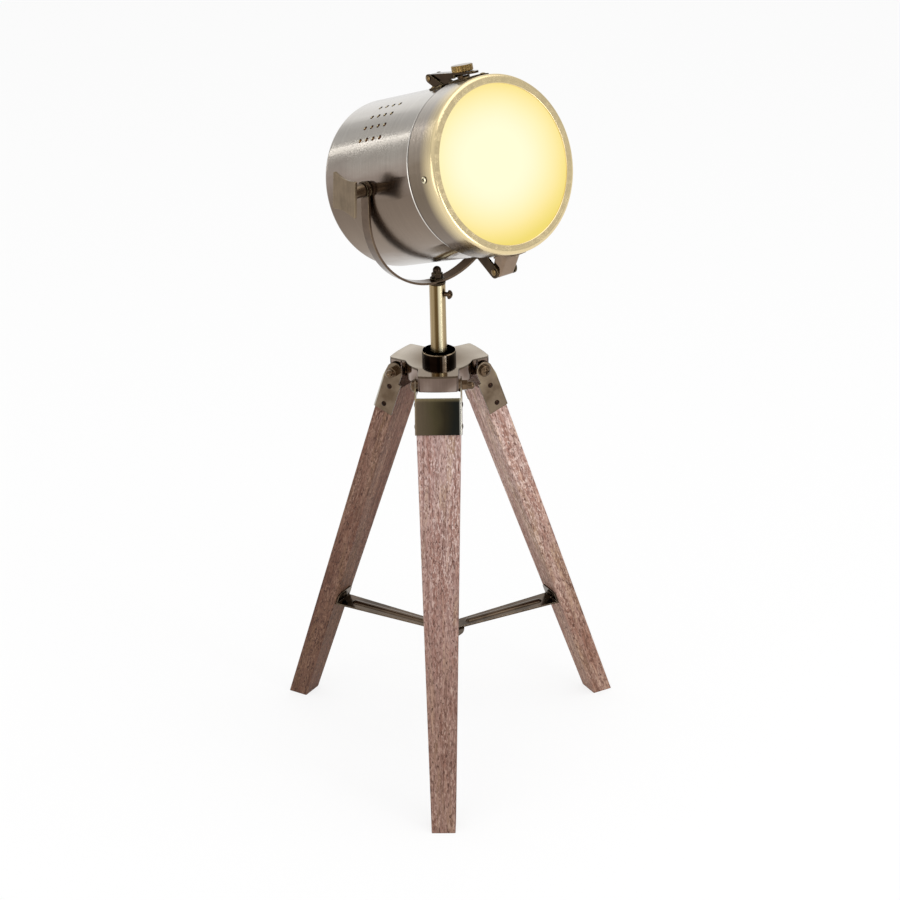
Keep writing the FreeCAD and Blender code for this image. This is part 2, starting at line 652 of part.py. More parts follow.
def brace_arm():
    """Pressed strip with a bead along it and a tab bent up against the leg."""
    top = BRACE_HIGH + BRACE_SHEET
    end = inner_face_at(BRACE_HIGH)
    tab_top = BRACE_HIGH + BRACE_TAB * math.cos(LEAN)
    tab_in = BRACE_SHEET / math.cos(LEAN)
    bent = outline((BRACE_START, BRACE_HIGH), (end, BRACE_HIGH), (inner_face_at(tab_top), tab_top),
                   (inner_face_at(tab_top) - tab_in, tab_top), (inner_face_at(top) - tab_in, top),
                   (BRACE_START, top))
    half_in, half_out = BRACE_WIDTH_IN / 2, BRACE_WIDTH_OUT / 2
    plan = outline((BRACE_START, -half_in), (end, -half_out), (end, half_out), (BRACE_START, half_in))
    arm = slab_along_y(bent, -BRACE_WIDTH_OUT, BRACE_WIDTH_OUT).common(slab(plan, 0, FAR))
    tab_corners = [edge for edge in arm.Edges
                   if edge.BoundBox.ZMin > tab_top - CLOSE and edge.BoundBox.YLength < 1e-1]
    arm = arm.makeFillet(BRACE_TAB_ROUND, tab_corners)
    radius = (BEAD_HALF ** 2 + BEAD_RISE ** 2) / (2 * BEAD_RISE)
    centre = top + BEAD_RISE - radius
    above = block((0, -FAR, BRACE_HIGH), (FAR, FAR, FAR))
    arm = arm.fuse(bead(radius, BEAD_START, end - BEAD_SHORT, centre).common(above))
    arm = arm.cut(bead(radius - BRACE_SHEET, BEAD_START, end - BEAD_SHORT, centre))
    rivet_hole = moved(rod(RIVET + HOLE_FIT, 0, FAR), aimed((BRACE_RIVET_OUT, 0, 0), (0, 0, 1)))
    screw_hole = on_board(moved(rod(WOOD_SCREW + HOLE_FIT, -DRILL, DRILL), tab_seat()))
    return cut_all(arm, [rivet_hole, screw_hole]).removeSplitter()


def brace_disc():
    """Disc under the arms' inner ends."""
    disc = rod(BRACE_DISC, BRACE_HIGH - BRACE_SHEET, BRACE_HIGH)
    hole = moved(rod(RIVET + HOLE_FIT, 0, FAR), aimed((BRACE_RIVET_OUT, 0, 0), (0, 0, 1)))
    return cut_all(disc, [leg_turned(hole, turn) for turn in LEG_ANGLES.values()])


def brace_rivet():
    """Rivet through an arm and the disc, with a head at each end."""
    stack = 2 * BRACE_SHEET
    pin = rivet(stack).fuse(moved(domed_head(RIVET_HEAD, RIVET_RISE), aimed((0, 0, -stack), (0, 0, -1))))
    return moved(pin, aimed((BRACE_RIVET_OUT, 0, BRACE_HIGH + BRACE_SHEET), (0, 0, 1)))


def brace_screw():
    """Pan-head wood screw through a tab into its leg."""
    screw = pan_screw(BRACE_SCREW_HEAD, WOOD_SCREW_HEAD, WOOD_SCREW, WOOD_SCREW_DEPTH + BRACE_SHEET)
    return on_board(moved(screw, tab_seat()))


# ---- pole, collar and swivel --------------------------------------------------------------------
def lock_seat(out):
    """Placement on the lock screw's axis at a distance from the pole's axis."""
    turn = math.radians(LOCK_ANGLE)
    direction = V(math.cos(turn), math.sin(turn), 0)
    return aimed(direction * out + V(0, 0, POLE_TOP - LOCK_DOWN), direction)


def pole():
    """Turned pole: a blind bore for the swivel stud and a spigot through the hub plate."""
    chamfer = POLE_CHAMFER
    body = spun(outline((0, HUB_TOP - SPIGOT_LONG), (SPIGOT_RADIUS, HUB_TOP - SPIGOT_LONG),
                        (SPIGOT_RADIUS, HUB_TOP), (POLE_RADIUS, HUB_TOP),
                        (POLE_RADIUS, POLE_TOP - chamfer), (POLE_RADIUS - chamfer, POLE_TOP),
                        (0, POLE_TOP)))
    bore = rod(STUD_RADIUS + RUN_FIT, POLE_TOP - POLE_BORE_DEEP, FAR)
    lock = moved(rod(LOCK_SHANK + RUN_FIT, 0, FAR), lock_seat(0))
    return cut_all(body, [bore, lock])


def pole_collar():
    """Thick ring at the pole's foot."""
    bore, top, chamfer = POLE_RADIUS + HOLE_FIT, HUB_TOP + COLLAR_TALL, COLLAR_CHAMFER
    return spun(outline((bore, HUB_TOP), (COLLAR_RADIUS, HUB_TOP), (COLLAR_RADIUS, top - chamfer),
                        (COLLAR_RADIUS - chamfer, top), (bore, top)))


def pole_washer():
    """Washer on the spigot under the hub plate."""
    return tube(POLE_WASHER, SPIGOT_RADIUS + HOLE_FIT, HUB_UNDER - POLE_WASHER_THICK, HUB_UNDER)


def pole_nut():
    """Nut that draws the pole down on the hub plate."""
    top = HUB_UNDER - POLE_WASHER_THICK
    return hexagon(POLE_NUT_FLATS, top - POLE_NUT_THICK, top).cut(rod(SPIGOT_RADIUS + HOLE_FIT, 0, FAR))


def lock_screw():
    """Cross-head screw through the pole's wall; its tip runs in the stud's groove."""
    seat = POLE_RADIUS + LOCK_NECK
    tip = STUD_RADIUS - GROOVE_DEEP + RUN_GAP
    return moved(pan_screw(LOCK_HEAD, LOCK_HEAD_TALL, LOCK_SHANK, seat - tip), lock_seat(seat))


def swivel_stud():
    """Journal that turns in the pole, with a groove for the lock screw and a threaded top."""
    low, top = POLE_TOP - POLE_BORE_DEEP + STUD_SHORT, POLE_TOP + RUN_GAP
    groove_mid = POLE_TOP - LOCK_DOWN
    groove_low, groove_high = groove_mid - GROOVE_TALL / 2, groove_mid + GROOVE_TALL / 2
    groove = STUD_RADIUS - GROOVE_DEEP
    thread_top = TOP_WASHER_SEAT + TOP_WASHER_THICK + SWIVEL_NUT_HEX
    return spun(outline((0, low), (STUD_RADIUS, low), (STUD_RADIUS, groove_low), (groove, groove_low),
                        (groove, groove_high), (STUD_RADIUS, groove_high), (STUD_RADIUS, top),
                        (STUD_THREAD, top), (STUD_THREAD, thread_top), (0, thread_top)))


def swivel_washers():
    """Washers under and over the yoke."""
    bore = STUD_THREAD + HOLE_FIT
    return Part.makeCompound([tube(SWIVEL_WASHER, bore, POLE_TOP + RUN_GAP, YOKE_UNDER),
                              tube(TOP_WASHER, bore, TOP_WASHER_SEAT, TOP_WASHER_SEAT + TOP_WASHER_THICK)])


def swivel_nut():
    """Acorn nut that holds the yoke on its stud."""
    nut = acorn_nut(SWIVEL_NUT_FLATS, SWIVEL_NUT_HEX, SWIVEL_NUT_TALL, STUD_THREAD)
    return moved(nut, aimed((0, 0, TOP_WASHER_SEAT + TOP_WASHER_THICK), (0, 0, 1)))


def yoke():
    """Flat band bent to a U, with an eye at the top of each arm."""
    bend = TILT_HIGH - YOKE_ARM
    band = outline((YOKE_HALF, TILT_HIGH), (YOKE_HALF, bend), ((0, bend - YOKE_HALF), (-YOKE_HALF, bend)),
                   (-YOKE_HALF, TILT_HIGH), (-YOKE_BORE, TILT_HIGH), (-YOKE_BORE, bend),
                   ((0, bend - YOKE_BORE), (YOKE_BORE, bend)), (YOKE_BORE, TILT_HIGH))
    eyes = [moved(rod(YOKE_EYE, YOKE_BORE, YOKE_HALF), aimed((0, 0, TILT_HIGH), (side, 0, 0)))
            for side in (-1, 1)]
    body = fuse_all([slab_along_y(band, -YOKE_BAND / 2, YOKE_BAND / 2)] + eyes)
    studs = moved(rod(TILT_STUD + RUN_FIT, -FAR, FAR), aimed((0, 0, TILT_HIGH), (1, 0, 0)))
    return cut_all(body, [studs, rod(STUD_THREAD + HOLE_FIT, 0, TILT_HIGH)])


def tilt_washers():
    """Washers between the yoke's eyes and the knobs."""
    ring = tube(TILT_WASHER, TILT_STUD + RUN_FIT, YOKE_HALF, YOKE_HALF + TILT_WASHER_THICK)
    return Part.makeCompound([moved(ring, aimed((0, 0, TILT_HIGH), (side, 0, 0))) for side in (-1, 1)])


# ---- drum, all in the drum frame ----------------------------------------------------------------
def beside_drum(shape, side):
    """Carry a piece made on +Z to the tilt axis, pointing out on side -1 or +1."""
    return moved(shape, aimed((0, AXIS_DROP, 0), (side, 0, 0)))


def on_shell(shape, radius, along, angle):
    """Carry a piece that stands on z = 0 onto a round shell, at an angle from its top toward -X."""
    return round_drum(moved(shape, aimed((0, radius, along), (0, 1, 0))), angle)


def saddle(inner, sheet, half, span):
    """Curved plate on top of a round shell."""
    ring = tube(inner + SEAT_FIT + sheet, inner + SEAT_FIT, *span)
    return ring.common(block((-half, 0, span[0]), (half, FAR, span[1])))


def across_pin(radius, half, head, head_tall):
    """Headed pin along X through two ears, with its middle at the origin."""
    seat = half + HOLE_FIT
    pin = rod(radius, -seat, seat)
    heads = [moved(domed_head(head, head_tall), aimed((0, 0, end * seat), (0, 0, end))) for end in (-1, 1)]
    return moved(fuse_all([pin] + heads), aimed((0, 0, 0), (1, 0, 0)))


def rim_back(distances):
    """Places along the drum that lie behind its rim."""
    return [DRUM_FRONT - distance for distance in distances]


def drum_rivet_places():
    """Radius, place along the drum and angle of each rivet through the drum's wall."""
    turn = math.degrees(math.asin(SADDLE_RIVET_SIDE / DRUM_RADIUS))
    saddle_top = DRUM_RADIUS + SEAT_FIT + SADDLE_SHEET
    base_top = DRUM_RADIUS + SEAT_FIT + HINGE_SHEET
    latch = [(saddle_top, along, side * turn)
             for along in rim_back(SADDLE_RIVETS_BEHIND) for side in (-1, 1)]
    return latch, [(base_top, along, 180) for along in rim_back(HINGE_RIVETS_BEHIND)]


def drum_shell():
    """Spun can with a rolled rim, a neck for the door, vents on both shoulders and its rivet holes."""
    bead_back, step = DRUM_FRONT - 2 * DRUM_BEAD, DRUM_FRONT - DRUM_WALL
    corner = DRUM_RADIUS - DRUM_ROUND
    turn_in = math.sqrt(0.5)
    outer_mid = (corner + DRUM_ROUND * turn_in, DRUM_BACK + DRUM_ROUND * (1 - turn_in))
    inner_round = DRUM_ROUND - DRUM_WALL
    inner_mid = (corner + inner_round * turn_in, DRUM_BACK + DRUM_ROUND - inner_round * turn_in)
    neck_end = DRUM_FRONT + NECK_LONG
    inlet = NIPPLE_RADIUS + HOLE_FIT
    shell = spun(outline(
        (inlet, DRUM_BACK), (corner, DRUM_BACK), (outer_mid, (DRUM_RADIUS, DRUM_BACK + DRUM_ROUND)),
        (DRUM_RADIUS, bead_back), ((DRUM_RADIUS + DRUM_BEAD, DRUM_FRONT - DRUM_BEAD),
                                   (DRUM_RADIUS, DRUM_FRONT)),
        (NECK_RADIUS, DRUM_FRONT), (NECK_RADIUS, neck_end), (NECK_RADIUS - DRUM_WALL, neck_end),
        (NECK_RADIUS - DRUM_WALL, step), (DRUM_BORE, bead_back), (DRUM_BORE, DRUM_BACK + DRUM_ROUND),
        (inner_mid, (corner, DRUM_BACK + DRUM_WALL)), (inlet, DRUM_BACK + DRUM_WALL)))
    vent = rod(VENT_RADIUS, -DRILL, DRILL)
    middle = (VENT_COUNT - 1) / 2
    vents = [on_shell(vent, DRUM_RADIUS, VENT_CENTRE + VENT_PITCH * (column - middle),
                      side * (VENT_FIRST_ANGLE + VENT_STEP_ANGLE * row))
             for row in range(VENT_COUNT) for column in range(VENT_COUNT) for side in (-1, 1)]
    latch, hinge = drum_rivet_places()
    rivets = [on_shell(rod(RIVET + HOLE_FIT, -DRILL, DRILL), *place) for place in latch + hinge]
    studs = beside_drum(rod(TILT_STUD + RUN_FIT, -FAR, FAR), 1)
    return cut_all(shell, vents + rivets + [studs])


def tilt_nuts():
    """Nuts welded inside the drum for the knobs' studs."""
    nut = hexagon(WELD_NUT_FLATS, WELD_NUT_SEAT - WELD_NUT_THICK, WELD_NUT_SEAT)
    nut = nut.cut(rod(TILT_STUD + RUN_FIT, 0, FAR))
    return Part.makeCompound([beside_drum(nut, side) for side in (-1, 1)])


def tilt_spacers():
    """Rings between the drum and the yoke's arms."""
    ring = tube(TILT_SPACER, TILT_STUD + RUN_FIT, DRUM_RADIUS + SEAT_FIT, YOKE_BORE - RUN_GAP)
    return Part.makeCompound([beside_drum(ring, side) for side in (-1, 1)])


def tilt_knob(side):
    """Clamp knob: a flat plate with waisted ends on a round stem, and the stud that it turns."""
    half_wide, half_tall = KNOB_WIDE / 2, KNOB_TALL / 2
    dip = half_tall - KNOB_WAIST
    plate_back, plate_front = KNOB_STEM_LONG, KNOB_STEM_LONG + KNOB_THICK
    plate = slab(outline((-half_wide, -half_tall), ((0, -dip), (half_wide, -half_tall)),
                         (half_wide, half_tall), ((0, dip), (-half_wide, half_tall))),
                 plate_back, plate_front)
    plate = plate.makeFillet(KNOB_CORNER, upright_edges(plate, plate_back, plate_front))
    plate.rotate(V(), Z_AXIS, side * (BEAM_RISE + KNOB_LEAN))
    stud_long = KNOB_SEAT - WELD_NUT_SEAT + WELD_NUT_THICK + STUD_PAST_NUT
    knob = fuse_all([rod(KNOB_STEM, 0, plate_back), plate, rod(TILT_STUD, -stud_long, 0)])
    return beside_drum(moved(knob, aimed((0, 0, KNOB_SEAT), (0, 0, 1))), side)


# ---- door ---------------------------------------------------------------------------------------
def bezel():
    """Drawn ring that frames the lens, with holes for its screws and rivets."""
    turn_in = math.sqrt(0.5)
    corner_out, corner_up = BEZEL_RADIUS - BEZEL_ROUND, BEZEL_FRONT - BEZEL_ROUND
    inner_round = BEZEL_ROUND - BEZEL_SHEET
    under = BEZEL_FRONT - BEZEL_SHEET
    lip = BEZEL_LIP_ROUND
    lip_mid = (LENS_OPENING + lip * (1 - turn_in), BEZEL_FRONT - lip * (1 - turn_in))
    ring = spun(outline(
        (BEZEL_BORE, BEZEL_BACK), (BEZEL_RADIUS, BEZEL_BACK), (BEZEL_RADIUS, corner_up),
        ((corner_out + BEZEL_ROUND * turn_in, corner_up + BEZEL_ROUND * turn_in),
         (corner_out, BEZEL_FRONT)),
        (LENS_OPENING + lip, BEZEL_FRONT), (lip_mid, (LENS_OPENING, BEZEL_FRONT - lip)),
        (LENS_OPENING, under), (corner_out, under),
        ((corner_out + inner_round * turn_in, corner_up + inner_round * turn_in),
         (BEZEL_BORE, corner_up))))
    drill = rod(RIVET + HOLE_FIT, -DRILL, DRILL)
    return cut_all(ring, [on_shell(drill, *place) for place in door_fixings()])


def door_fixings():
    """Radius, place along the drum and angle of each screw and rivet through the bezel."""
    catch_top = BEZEL_RADIUS + SEAT_FIT + SADDLE_SHEET
    catch_turn = math.degrees(math.asin(CATCH_RIVET_SIDE / BEZEL_RADIUS))
    leaf_top = BEZEL_RADIUS + SEAT_FIT + HINGE_SHEET
    screw_at = BEZEL_FRONT - BEZEL_SCREW_BACK
    return ([(BEZEL_RADIUS, screw_at, side * BEZEL_SCREW_ANGLE) for side in (-1, 1)]
            + [(catch_top, CATCH_RIVET_AT, side * catch_turn) for side in (-1, 1)]
            + [(leaf_top, DRUM_FRONT + ahead, 180) for ahead in LEAF_RIVETS_AHEAD])


def lens():
    """Flat disc of opal glass behind the bezel's lip."""
    disc = rod(LENS_RADIUS, LENS_BACK, LENS_FRONT)
    return disc.makeFillet(LENS_ROUND, [edge for edge in disc.Edges if not edge.isSeam(disc.Faces[0])])


def lens_clips():
    """Bent clips that hold the lens against the bezel."""
    wall = math.sqrt(BEZEL_BORE ** 2 - CLIP_HALF ** 2) - SEAT_FIT
    hook = outline((wall, LENS_BACK - CLIP_LONG), (wall, LENS_BACK), (wall - CLIP_REACH, LENS_BACK),
                   (wall - CLIP_REACH, LENS_BACK - CLIP_SHEET), (wall - CLIP_SHEET, LENS_BACK - CLIP_SHEET),
                   (wall - CLIP_SHEET, LENS_BACK - CLIP_LONG))
    clip = slab_along_x(hook, -CLIP_HALF, CLIP_HALF)
    drill = rod(RIVET + HOLE_FIT, -DRILL, DRILL)
    clips = []
    for radius, along, angle in door_fixings():
        if along > LENS_BACK - CLIP_LONG:
            clips.append(round_drum(clip, angle).cut(on_shell(drill, radius, along, angle)))
    return Part.makeCompound(clips)


def door_screws():
    """Cross-head screws at the bezel's sides."""
    screw = pan_screw(BEZEL_SCREW_HEAD, BEZEL_SCREW_RISE, RIVET, BEZEL_SHEET + CLIP_SHEET + RIVET_TAIL)
    return Part.makeCompound([on_shell(screw, *place) for place in door_fixings()[:2]])


def door_rivets():
    """Rivets of the catch plate and the hinge leaf."""
    pins = [on_shell(rivet(place[0] - BEZEL_BORE + CLIP_SHEET + RIVET_TAIL), *place)
            for place in door_fixings()[2:]]
    return Part.makeCompound(pins)


def hinge_leaf():
    """Folded leaf under the bezel: a curved flange, two cheeks and a front wrapped round the pin."""
    foot = -BEZEL_RADIUS - SEAT_FIT - HINGE_SHEET / 2
    centre = (-HINGE_DROP, HINGE_AT)
    leaf_back, leaf_front = [DRUM_FRONT + ahead for ahead in LEAF_AHEAD]
    cheek_front = DRUM_FRONT + LEAF_CHEEK_AHEAD
    outside = lug_outline((foot, cheek_front), (foot, leaf_back), centre, LEAF_ROUND)
    inside = lug_outline((foot + HINGE_SHEET, cheek_front - HINGE_SHEET),
                         (foot + HINGE_SHEET, DRUM_BACK), centre, LEAF_ROUND - HINGE_SHEET)
    cheek = LEAF_HALF - HINGE_SHEET
    block_out = slab_along_x(outside, -LEAF_HALF, LEAF_HALF)
    folds = [edge for edge in block_out.Edges
             if isinstance(edge.Curve, Part.Line) and edge.BoundBox.XLength < CLOSE
             and edge.BoundBox.YLength > CLOSE and edge.BoundBox.ZMin > HINGE_AT]
    folded = block_out.makeFillet(LEAF_CORNER, folds).cut(slab_along_x(inside, -cheek, cheek))
    flange = round_drum(saddle(BEZEL_RADIUS, HINGE_SHEET, LEAF_HALF, (leaf_back, leaf_front)), 180)
    pin = moved(rod(HINGE_PIN + RUN_FIT, -FAR, FAR), aimed((0, -HINGE_DROP, HINGE_AT), (1, 0, 0)))
    drill = rod(RIVET + HOLE_FIT, -DRILL, DRILL)
    drills = [on_shell(drill, *place) for place in door_fixings() if place[2] == 180]
    bore = rod(BEZEL_RADIUS + SEAT_FIT, 0, FAR)
    return cut_all(fuse_all([flange, folded]), [bore, pin] + drills)


def catch_plate():
    """Curved plate on the bezel with the boss that the thumb screw enters."""
    plate = saddle(BEZEL_RADIUS, SADDLE_SHEET, CATCH_HALF, [DRUM_FRONT + ahead for ahead in CATCH_AHEAD])
    boss = moved(rod(CATCH_BOSS, -2 * LATCH_BARREL, STRAP_UNDER - CATCH_GAP),
                 aimed((0, 0, STRAP_SCREW_AT), (0, 1, 0)))
    hole = moved(rod(THUMB_SHANK + HOLE_FIT, -2 * DRILL, DRILL), aimed((0, 0, STRAP_SCREW_AT), (0, 1, 0)))
    bore = rod(BEZEL_RADIUS + SEAT_FIT, 0, FAR)
    drill = rod(RIVET + HOLE_FIT, -DRILL, DRILL)
    drills = [on_shell(drill, *place) for place in door_fixings() if place[1] == CATCH_RIVET_AT]
    return cut_all(fuse_all([plate, on_strap(boss).cut(bore)]), [on_strap(hole)] + drills)


# ---- drum fittings: hinge bracket, latch base, latch strap --------------------------------------
def hinge_bracket():
    """Curved base under the drum with two ears that carry the hinge pin."""
    base_back, base_front = rim_back(HINGE_BASE_BEHIND)
    base = round_drum(saddle(DRUM_RADIUS, HINGE_SHEET, HINGE_EAR_OUTSIDE, (base_back, base_front)), 180)
    foot = -DRUM_RADIUS - HINGE_SHEET / 2
    ear = lug_outline((foot, base_front), (foot, DRUM_FRONT - HINGE_EAR_BEHIND), (-HINGE_DROP, HINGE_AT),
                      HINGE_EAR_ROUND)
    ears = [slab_along_x(ear, *sorted((side * HINGE_EAR_INSIDE, side * HINGE_EAR_OUTSIDE)))
            for side in (-1, 1)]
    pin = moved(rod(HINGE_PIN + HOLE_FIT, -FAR, FAR), aimed((0, -HINGE_DROP, HINGE_AT), (1, 0, 0)))
    drills = [on_shell(rod(RIVET + HOLE_FIT, -DRILL, DRILL), *place) for place in drum_rivet_places()[1]]
    return cut_all(fuse_all([base] + ears), [rod(DRUM_RADIUS + SEAT_FIT, 0, FAR), pin] + drills)


def hinge_pin():
    """Headed pin of the door hinge."""
    pin = across_pin(HINGE_PIN, HINGE_EAR_OUTSIDE, HINGE_PIN_HEAD, HINGE_PIN_HEAD_TALL)
    return moved(pin, FreeCAD.Placement(V(0, -HINGE_DROP, HINGE_AT), FreeCAD.Rotation()))


def drum_rivets():
    """Rivets of the latch base and the hinge bracket."""
    pins = [on_shell(rivet(place[0] - DRUM_BORE + RIVET_TAIL), *place)
            for places in drum_rivet_places() for place in places]
    return Part.makeCompound(pins)


def latch_base():
    """Curved plate on the drum with two ears that lean back to carry the latch pin."""
    saddle_back, saddle_front = rim_back(SADDLE_BEHIND)
    plate = saddle(DRUM_RADIUS, SADDLE_SHEET, SADDLE_HALF, (saddle_back, saddle_front))
    foot = DRUM_RADIUS + SADDLE_SHEET / 2
    ear = lug_outline((foot, saddle_back), (foot, DRUM_FRONT - LATCH_EAR_BEHIND), (LATCH_RISE, LATCH_AT),
                      LATCH_EAR_ROUND)
    ears = [slab_along_x(ear, *sorted((side * LATCH_EAR_INSIDE, side * LATCH_EAR_OUTSIDE)))
            for side in (-1, 1)]
    pin = moved(rod(LATCH_PIN + HOLE_FIT, -FAR, FAR), aimed((0, LATCH_RISE, LATCH_AT), (1, 0, 0)))
    drills = [on_shell(rod(RIVET + HOLE_FIT, -DRILL, DRILL), *place) for place in drum_rivet_places()[0]]
    return cut_all(fuse_all([plate] + ears), [rod(DRUM_RADIUS + SEAT_FIT, 0, FAR), pin] + drills)


def latch_pin():
    """Headed pin of the latch strap."""
    pin = across_pin(LATCH_PIN, LATCH_EAR_OUTSIDE, LATCH_PIN_HEAD, LATCH_PIN_HEAD_TALL)
    return moved(pin, FreeCAD.Placement(V(0, LATCH_RISE, LATCH_AT), FreeCAD.Rotation()))


def latch_strap():
    """Strap with downturned sides, rolled round the latch pin, with a hole for the thumb screw."""
    plan = outline((-STRAP_HALF, 0), (STRAP_HALF, 0), (STRAP_HALF, STRAP_LONG), (-STRAP_HALF, STRAP_LONG))
    plate = slab(plan, 0, STRAP_SHEET)
    tips = [edge for edge in upright_edges(plate, 0, STRAP_SHEET) if edge.CenterOfMass.y > STRAP_LONG / 2]
    plate = plate.makeFillet(STRAP_CORNER, tips)
    plate.rotate(V(), X_AXIS, 90)
    plate.translate(V(0, LATCH_BARREL, 0))
    corner = (-STRAP_SIDE_DROP, STRAP_SIDE_LONG)
    profile = outline((LATCH_BARREL, STRAP_SIDE_LONG), corner, tangent(corner, (0, 0), LATCH_BARREL, 1),
                      ((0, -LATCH_BARREL), (LATCH_BARREL, 0)))
    inside = STRAP_HALF - STRAP_SIDE
    channel = slab_along_x(profile, -STRAP_HALF, STRAP_HALF).cut(
        block((-inside, -FAR, LATCH_BARREL), (inside, STRAP_UNDER, FAR)))
    pin = moved(rod(LATCH_PIN + RUN_FIT, -FAR, FAR), aimed((0, 0, 0), (1, 0, 0)))
    screw = moved(rod(THUMB_SHANK + RUN_FIT, -FAR, FAR), aimed((0, 0, STRAP_SCREW_AT), (0, 1, 0)))
    return on_strap(cut_all(fuse_all([channel, plate]), [pin, screw]))


def thumb_screw():
    """Fluted thumb screw through the strap, drawn back until its tip is clear of the catch."""
    chamfer = THUMB_CHAMFER
    head = spun(outline((0, 0), (THUMB_RADIUS - chamfer, 0), (THUMB_RADIUS, chamfer),
                        (THUMB_RADIUS, THUMB_TALL - chamfer), (THUMB_RADIUS - chamfer, THUMB_TALL),
                        (0, THUMB_TALL)))
    for flute in range(THUMB_FLUTE_COUNT):
        angle = 2 * math.pi * flute / THUMB_FLUTE_COUNT
        groove = rod(THUMB_FLUTE, -OVERCUT, THUMB_TALL + OVERCUT)
        groove.translate(V(THUMB_RADIUS * math.cos(angle), THUMB_RADIUS * math.sin(angle), 0))
        head = head.cut(groove)
    screw = head.fuse(rod(THUMB_SHANK, -STRAP_SHEET - RUN_GAP, 0))
    return on_strap(moved(screw, aimed((0, LATCH_BARREL + RUN_GAP, STRAP_SCREW_AT), (0, 1, 0))))


# ---- lampholder, bulb and cord inlet ------------------------------------------------------------
def lampholder():
    """Moulded screw lampholder on the hollow nipple."""
    inlet, pocket = NIPPLE_RADIUS + HOLE_FIT, BULB_CAP + REST_GAP
    floor = BULB_CAP_BACK - REST_GAP
    shoulder = HOLDER_BACK + HOLDER_NECK_LONG
    flare = shoulder + HOLDER_RADIUS - HOLDER_NECK
    return spun(outline((inlet, HOLDER_BACK), (HOLDER_NECK, HOLDER_BACK), (HOLDER_NECK, shoulder),
                        (HOLDER_RADIUS, flare), (HOLDER_RADIUS, HOLDER_FRONT), (pocket, HOLDER_FRONT),
                        (pocket, floor), (inlet, floor)))


def bulb_cap():
    """Screw cap of the bulb, with its centre contact."""
    contact, shoulder = 0.35 * BULB_CAP, 0.2 * BULB_CAP
    return spun(outline((0, BULB_CAP_BACK), (contact, BULB_CAP_BACK), (BULB_CAP, BULB_CAP_BACK + shoulder),
                        (BULB_CAP, BULB_SEAT), (0, BULB_SEAT)))


def bulb_blank(inset, low):
    """Pear shape drawn in by an inset."""
    neck, radius = BULB_NECK - inset, BULB_RADIUS - inset
    centre = (0, BULB_CENTRE)
    shoulder = tangent((neck, BULB_SEAT), centre, radius, 1)
    start = math.atan2(shoulder[1] - centre[1], shoulder[0])
    middle = (start + math.pi / 2) / 2
    arc_middle = (radius * math.cos(middle), centre[1] + radius * math.sin(middle))
    return spun(outline((0, low), (neck, low), (neck, BULB_SEAT), shoulder,
                        (arc_middle, (0, centre[1] + radius))))


def bulb_glass():
    """Hollow glass of the bulb, open at its cap."""
    return bulb_blank(0, BULB_SEAT).cut(bulb_blank(BULB_GLASS, BULB_SEAT - OVERCUT))


def inlet_nipple():
    """Hollow threaded nipple through the drum's back, which carries the lampholder."""
    return tube(NIPPLE_RADIUS, NIPPLE_BORE, DRUM_BACK - NIPPLE_BEHIND, HOLDER_BACK + NIPPLE_IN_HOLDER)


def inlet_nuts():
    """Nuts on the nipple, outside and inside the drum's back."""
    inside = DRUM_BACK + DRUM_WALL
    bore = rod(NIPPLE_RADIUS + HOLE_FIT, -FAR, FAR)
    spans = ((DRUM_BACK - INLET_NUT_THICK, DRUM_BACK), (inside, inside + INLET_NUT_THICK))
    return Part.makeCompound([hexagon(INLET_NUT_FLATS, *span).cut(bore) for span in spans])


def cord_gland():
    """Tapered gland screwed on the nipple, with the cord's empty hole."""
    front = DRUM_BACK - INLET_NUT_THICK
    back = front - GLAND_LONG
    inlet = NIPPLE_RADIUS + HOLE_FIT
    return spun(outline((inlet, front), (GLAND_RADIUS, front), (GLAND_RADIUS, GLAND_STOP),
                        (GLAND_TIP, back), (GLAND_BORE, back), (GLAND_BORE, GLAND_STOP), (inlet, GLAND_STOP)))


def nodes():
    """Every node's name and shape, in the object's frame."""
    stand = {"hub_plate": hub_plate(), "pole": pole(), "pole_collar": pole_collar(),
             "pole_washer": pole_washer(), "pole_nut": pole_nut(), "brace_disc": brace_disc()}
    for name, turn in LEG_ANGLES.items():
        stand["leg_" + name] = leg_turned(leg_board(), turn)
        stand["leg_bracket_" + name] = leg_turned(leg_bracket(), turn)
        stand["brace_arm_" + name] = leg_turned(brace_arm(), turn)
    stand["bracket_screws"] = at_each_leg(*bracket_screws())
    stand["leg_bolts"] = at_each_leg(leg_bolt())
    stand["leg_nuts"] = at_each_leg(leg_nut())
    stand["leg_washers"] = at_each_leg(*leg_washers())
    stand["leg_sleeves"] = at_each_leg(leg_sleeve())
    stand["brace_rivets"] = at_each_leg(brace_rivet())
    stand["brace_screws"] = at_each_leg(brace_screw())
    swivel = {"lock_screw": lock_screw(), "swivel_stud": swivel_stud(), "swivel_washers": swivel_washers(),
              "swivel_nut": swivel_nut(), "yoke": yoke(), "tilt_washers": tilt_washers()}
    makers = (drum_shell, tilt_nuts, tilt_spacers, drum_rivets, hinge_bracket, hinge_pin, latch_base,
              latch_pin, lampholder, bulb_cap, bulb_glass, inlet_nipple, inlet_nuts, cord_gland,
              bezel, lens, lens_clips, door_screws, door_rivets, hinge_leaf, catch_plate,
              latch_strap, thumb_screw)
    head = {maker.__name__: on_head(maker()) for maker in makers}
    head["tilt_knob_left"] = on_head(tilt_knob(-1))
    head["tilt_knob_right"] = on_head(tilt_knob(1))
    return {**stand, **swivel, **head}


os.makedirs("parts", exist_ok=True)
for node_name, node_shape in nodes().items():
    node_shape.exportStep("parts/" + node_name + ".step")
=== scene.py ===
"""Looks of the tabletop searchlight lamp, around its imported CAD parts. Metres, in the CAD's frame.

The stand is weathered limed wood with antique nickel fittings, and the head is brushed nickel with a
lit opal lens. Every finish is procedural and lives in the object's own coordinates.
"""

import json
import math

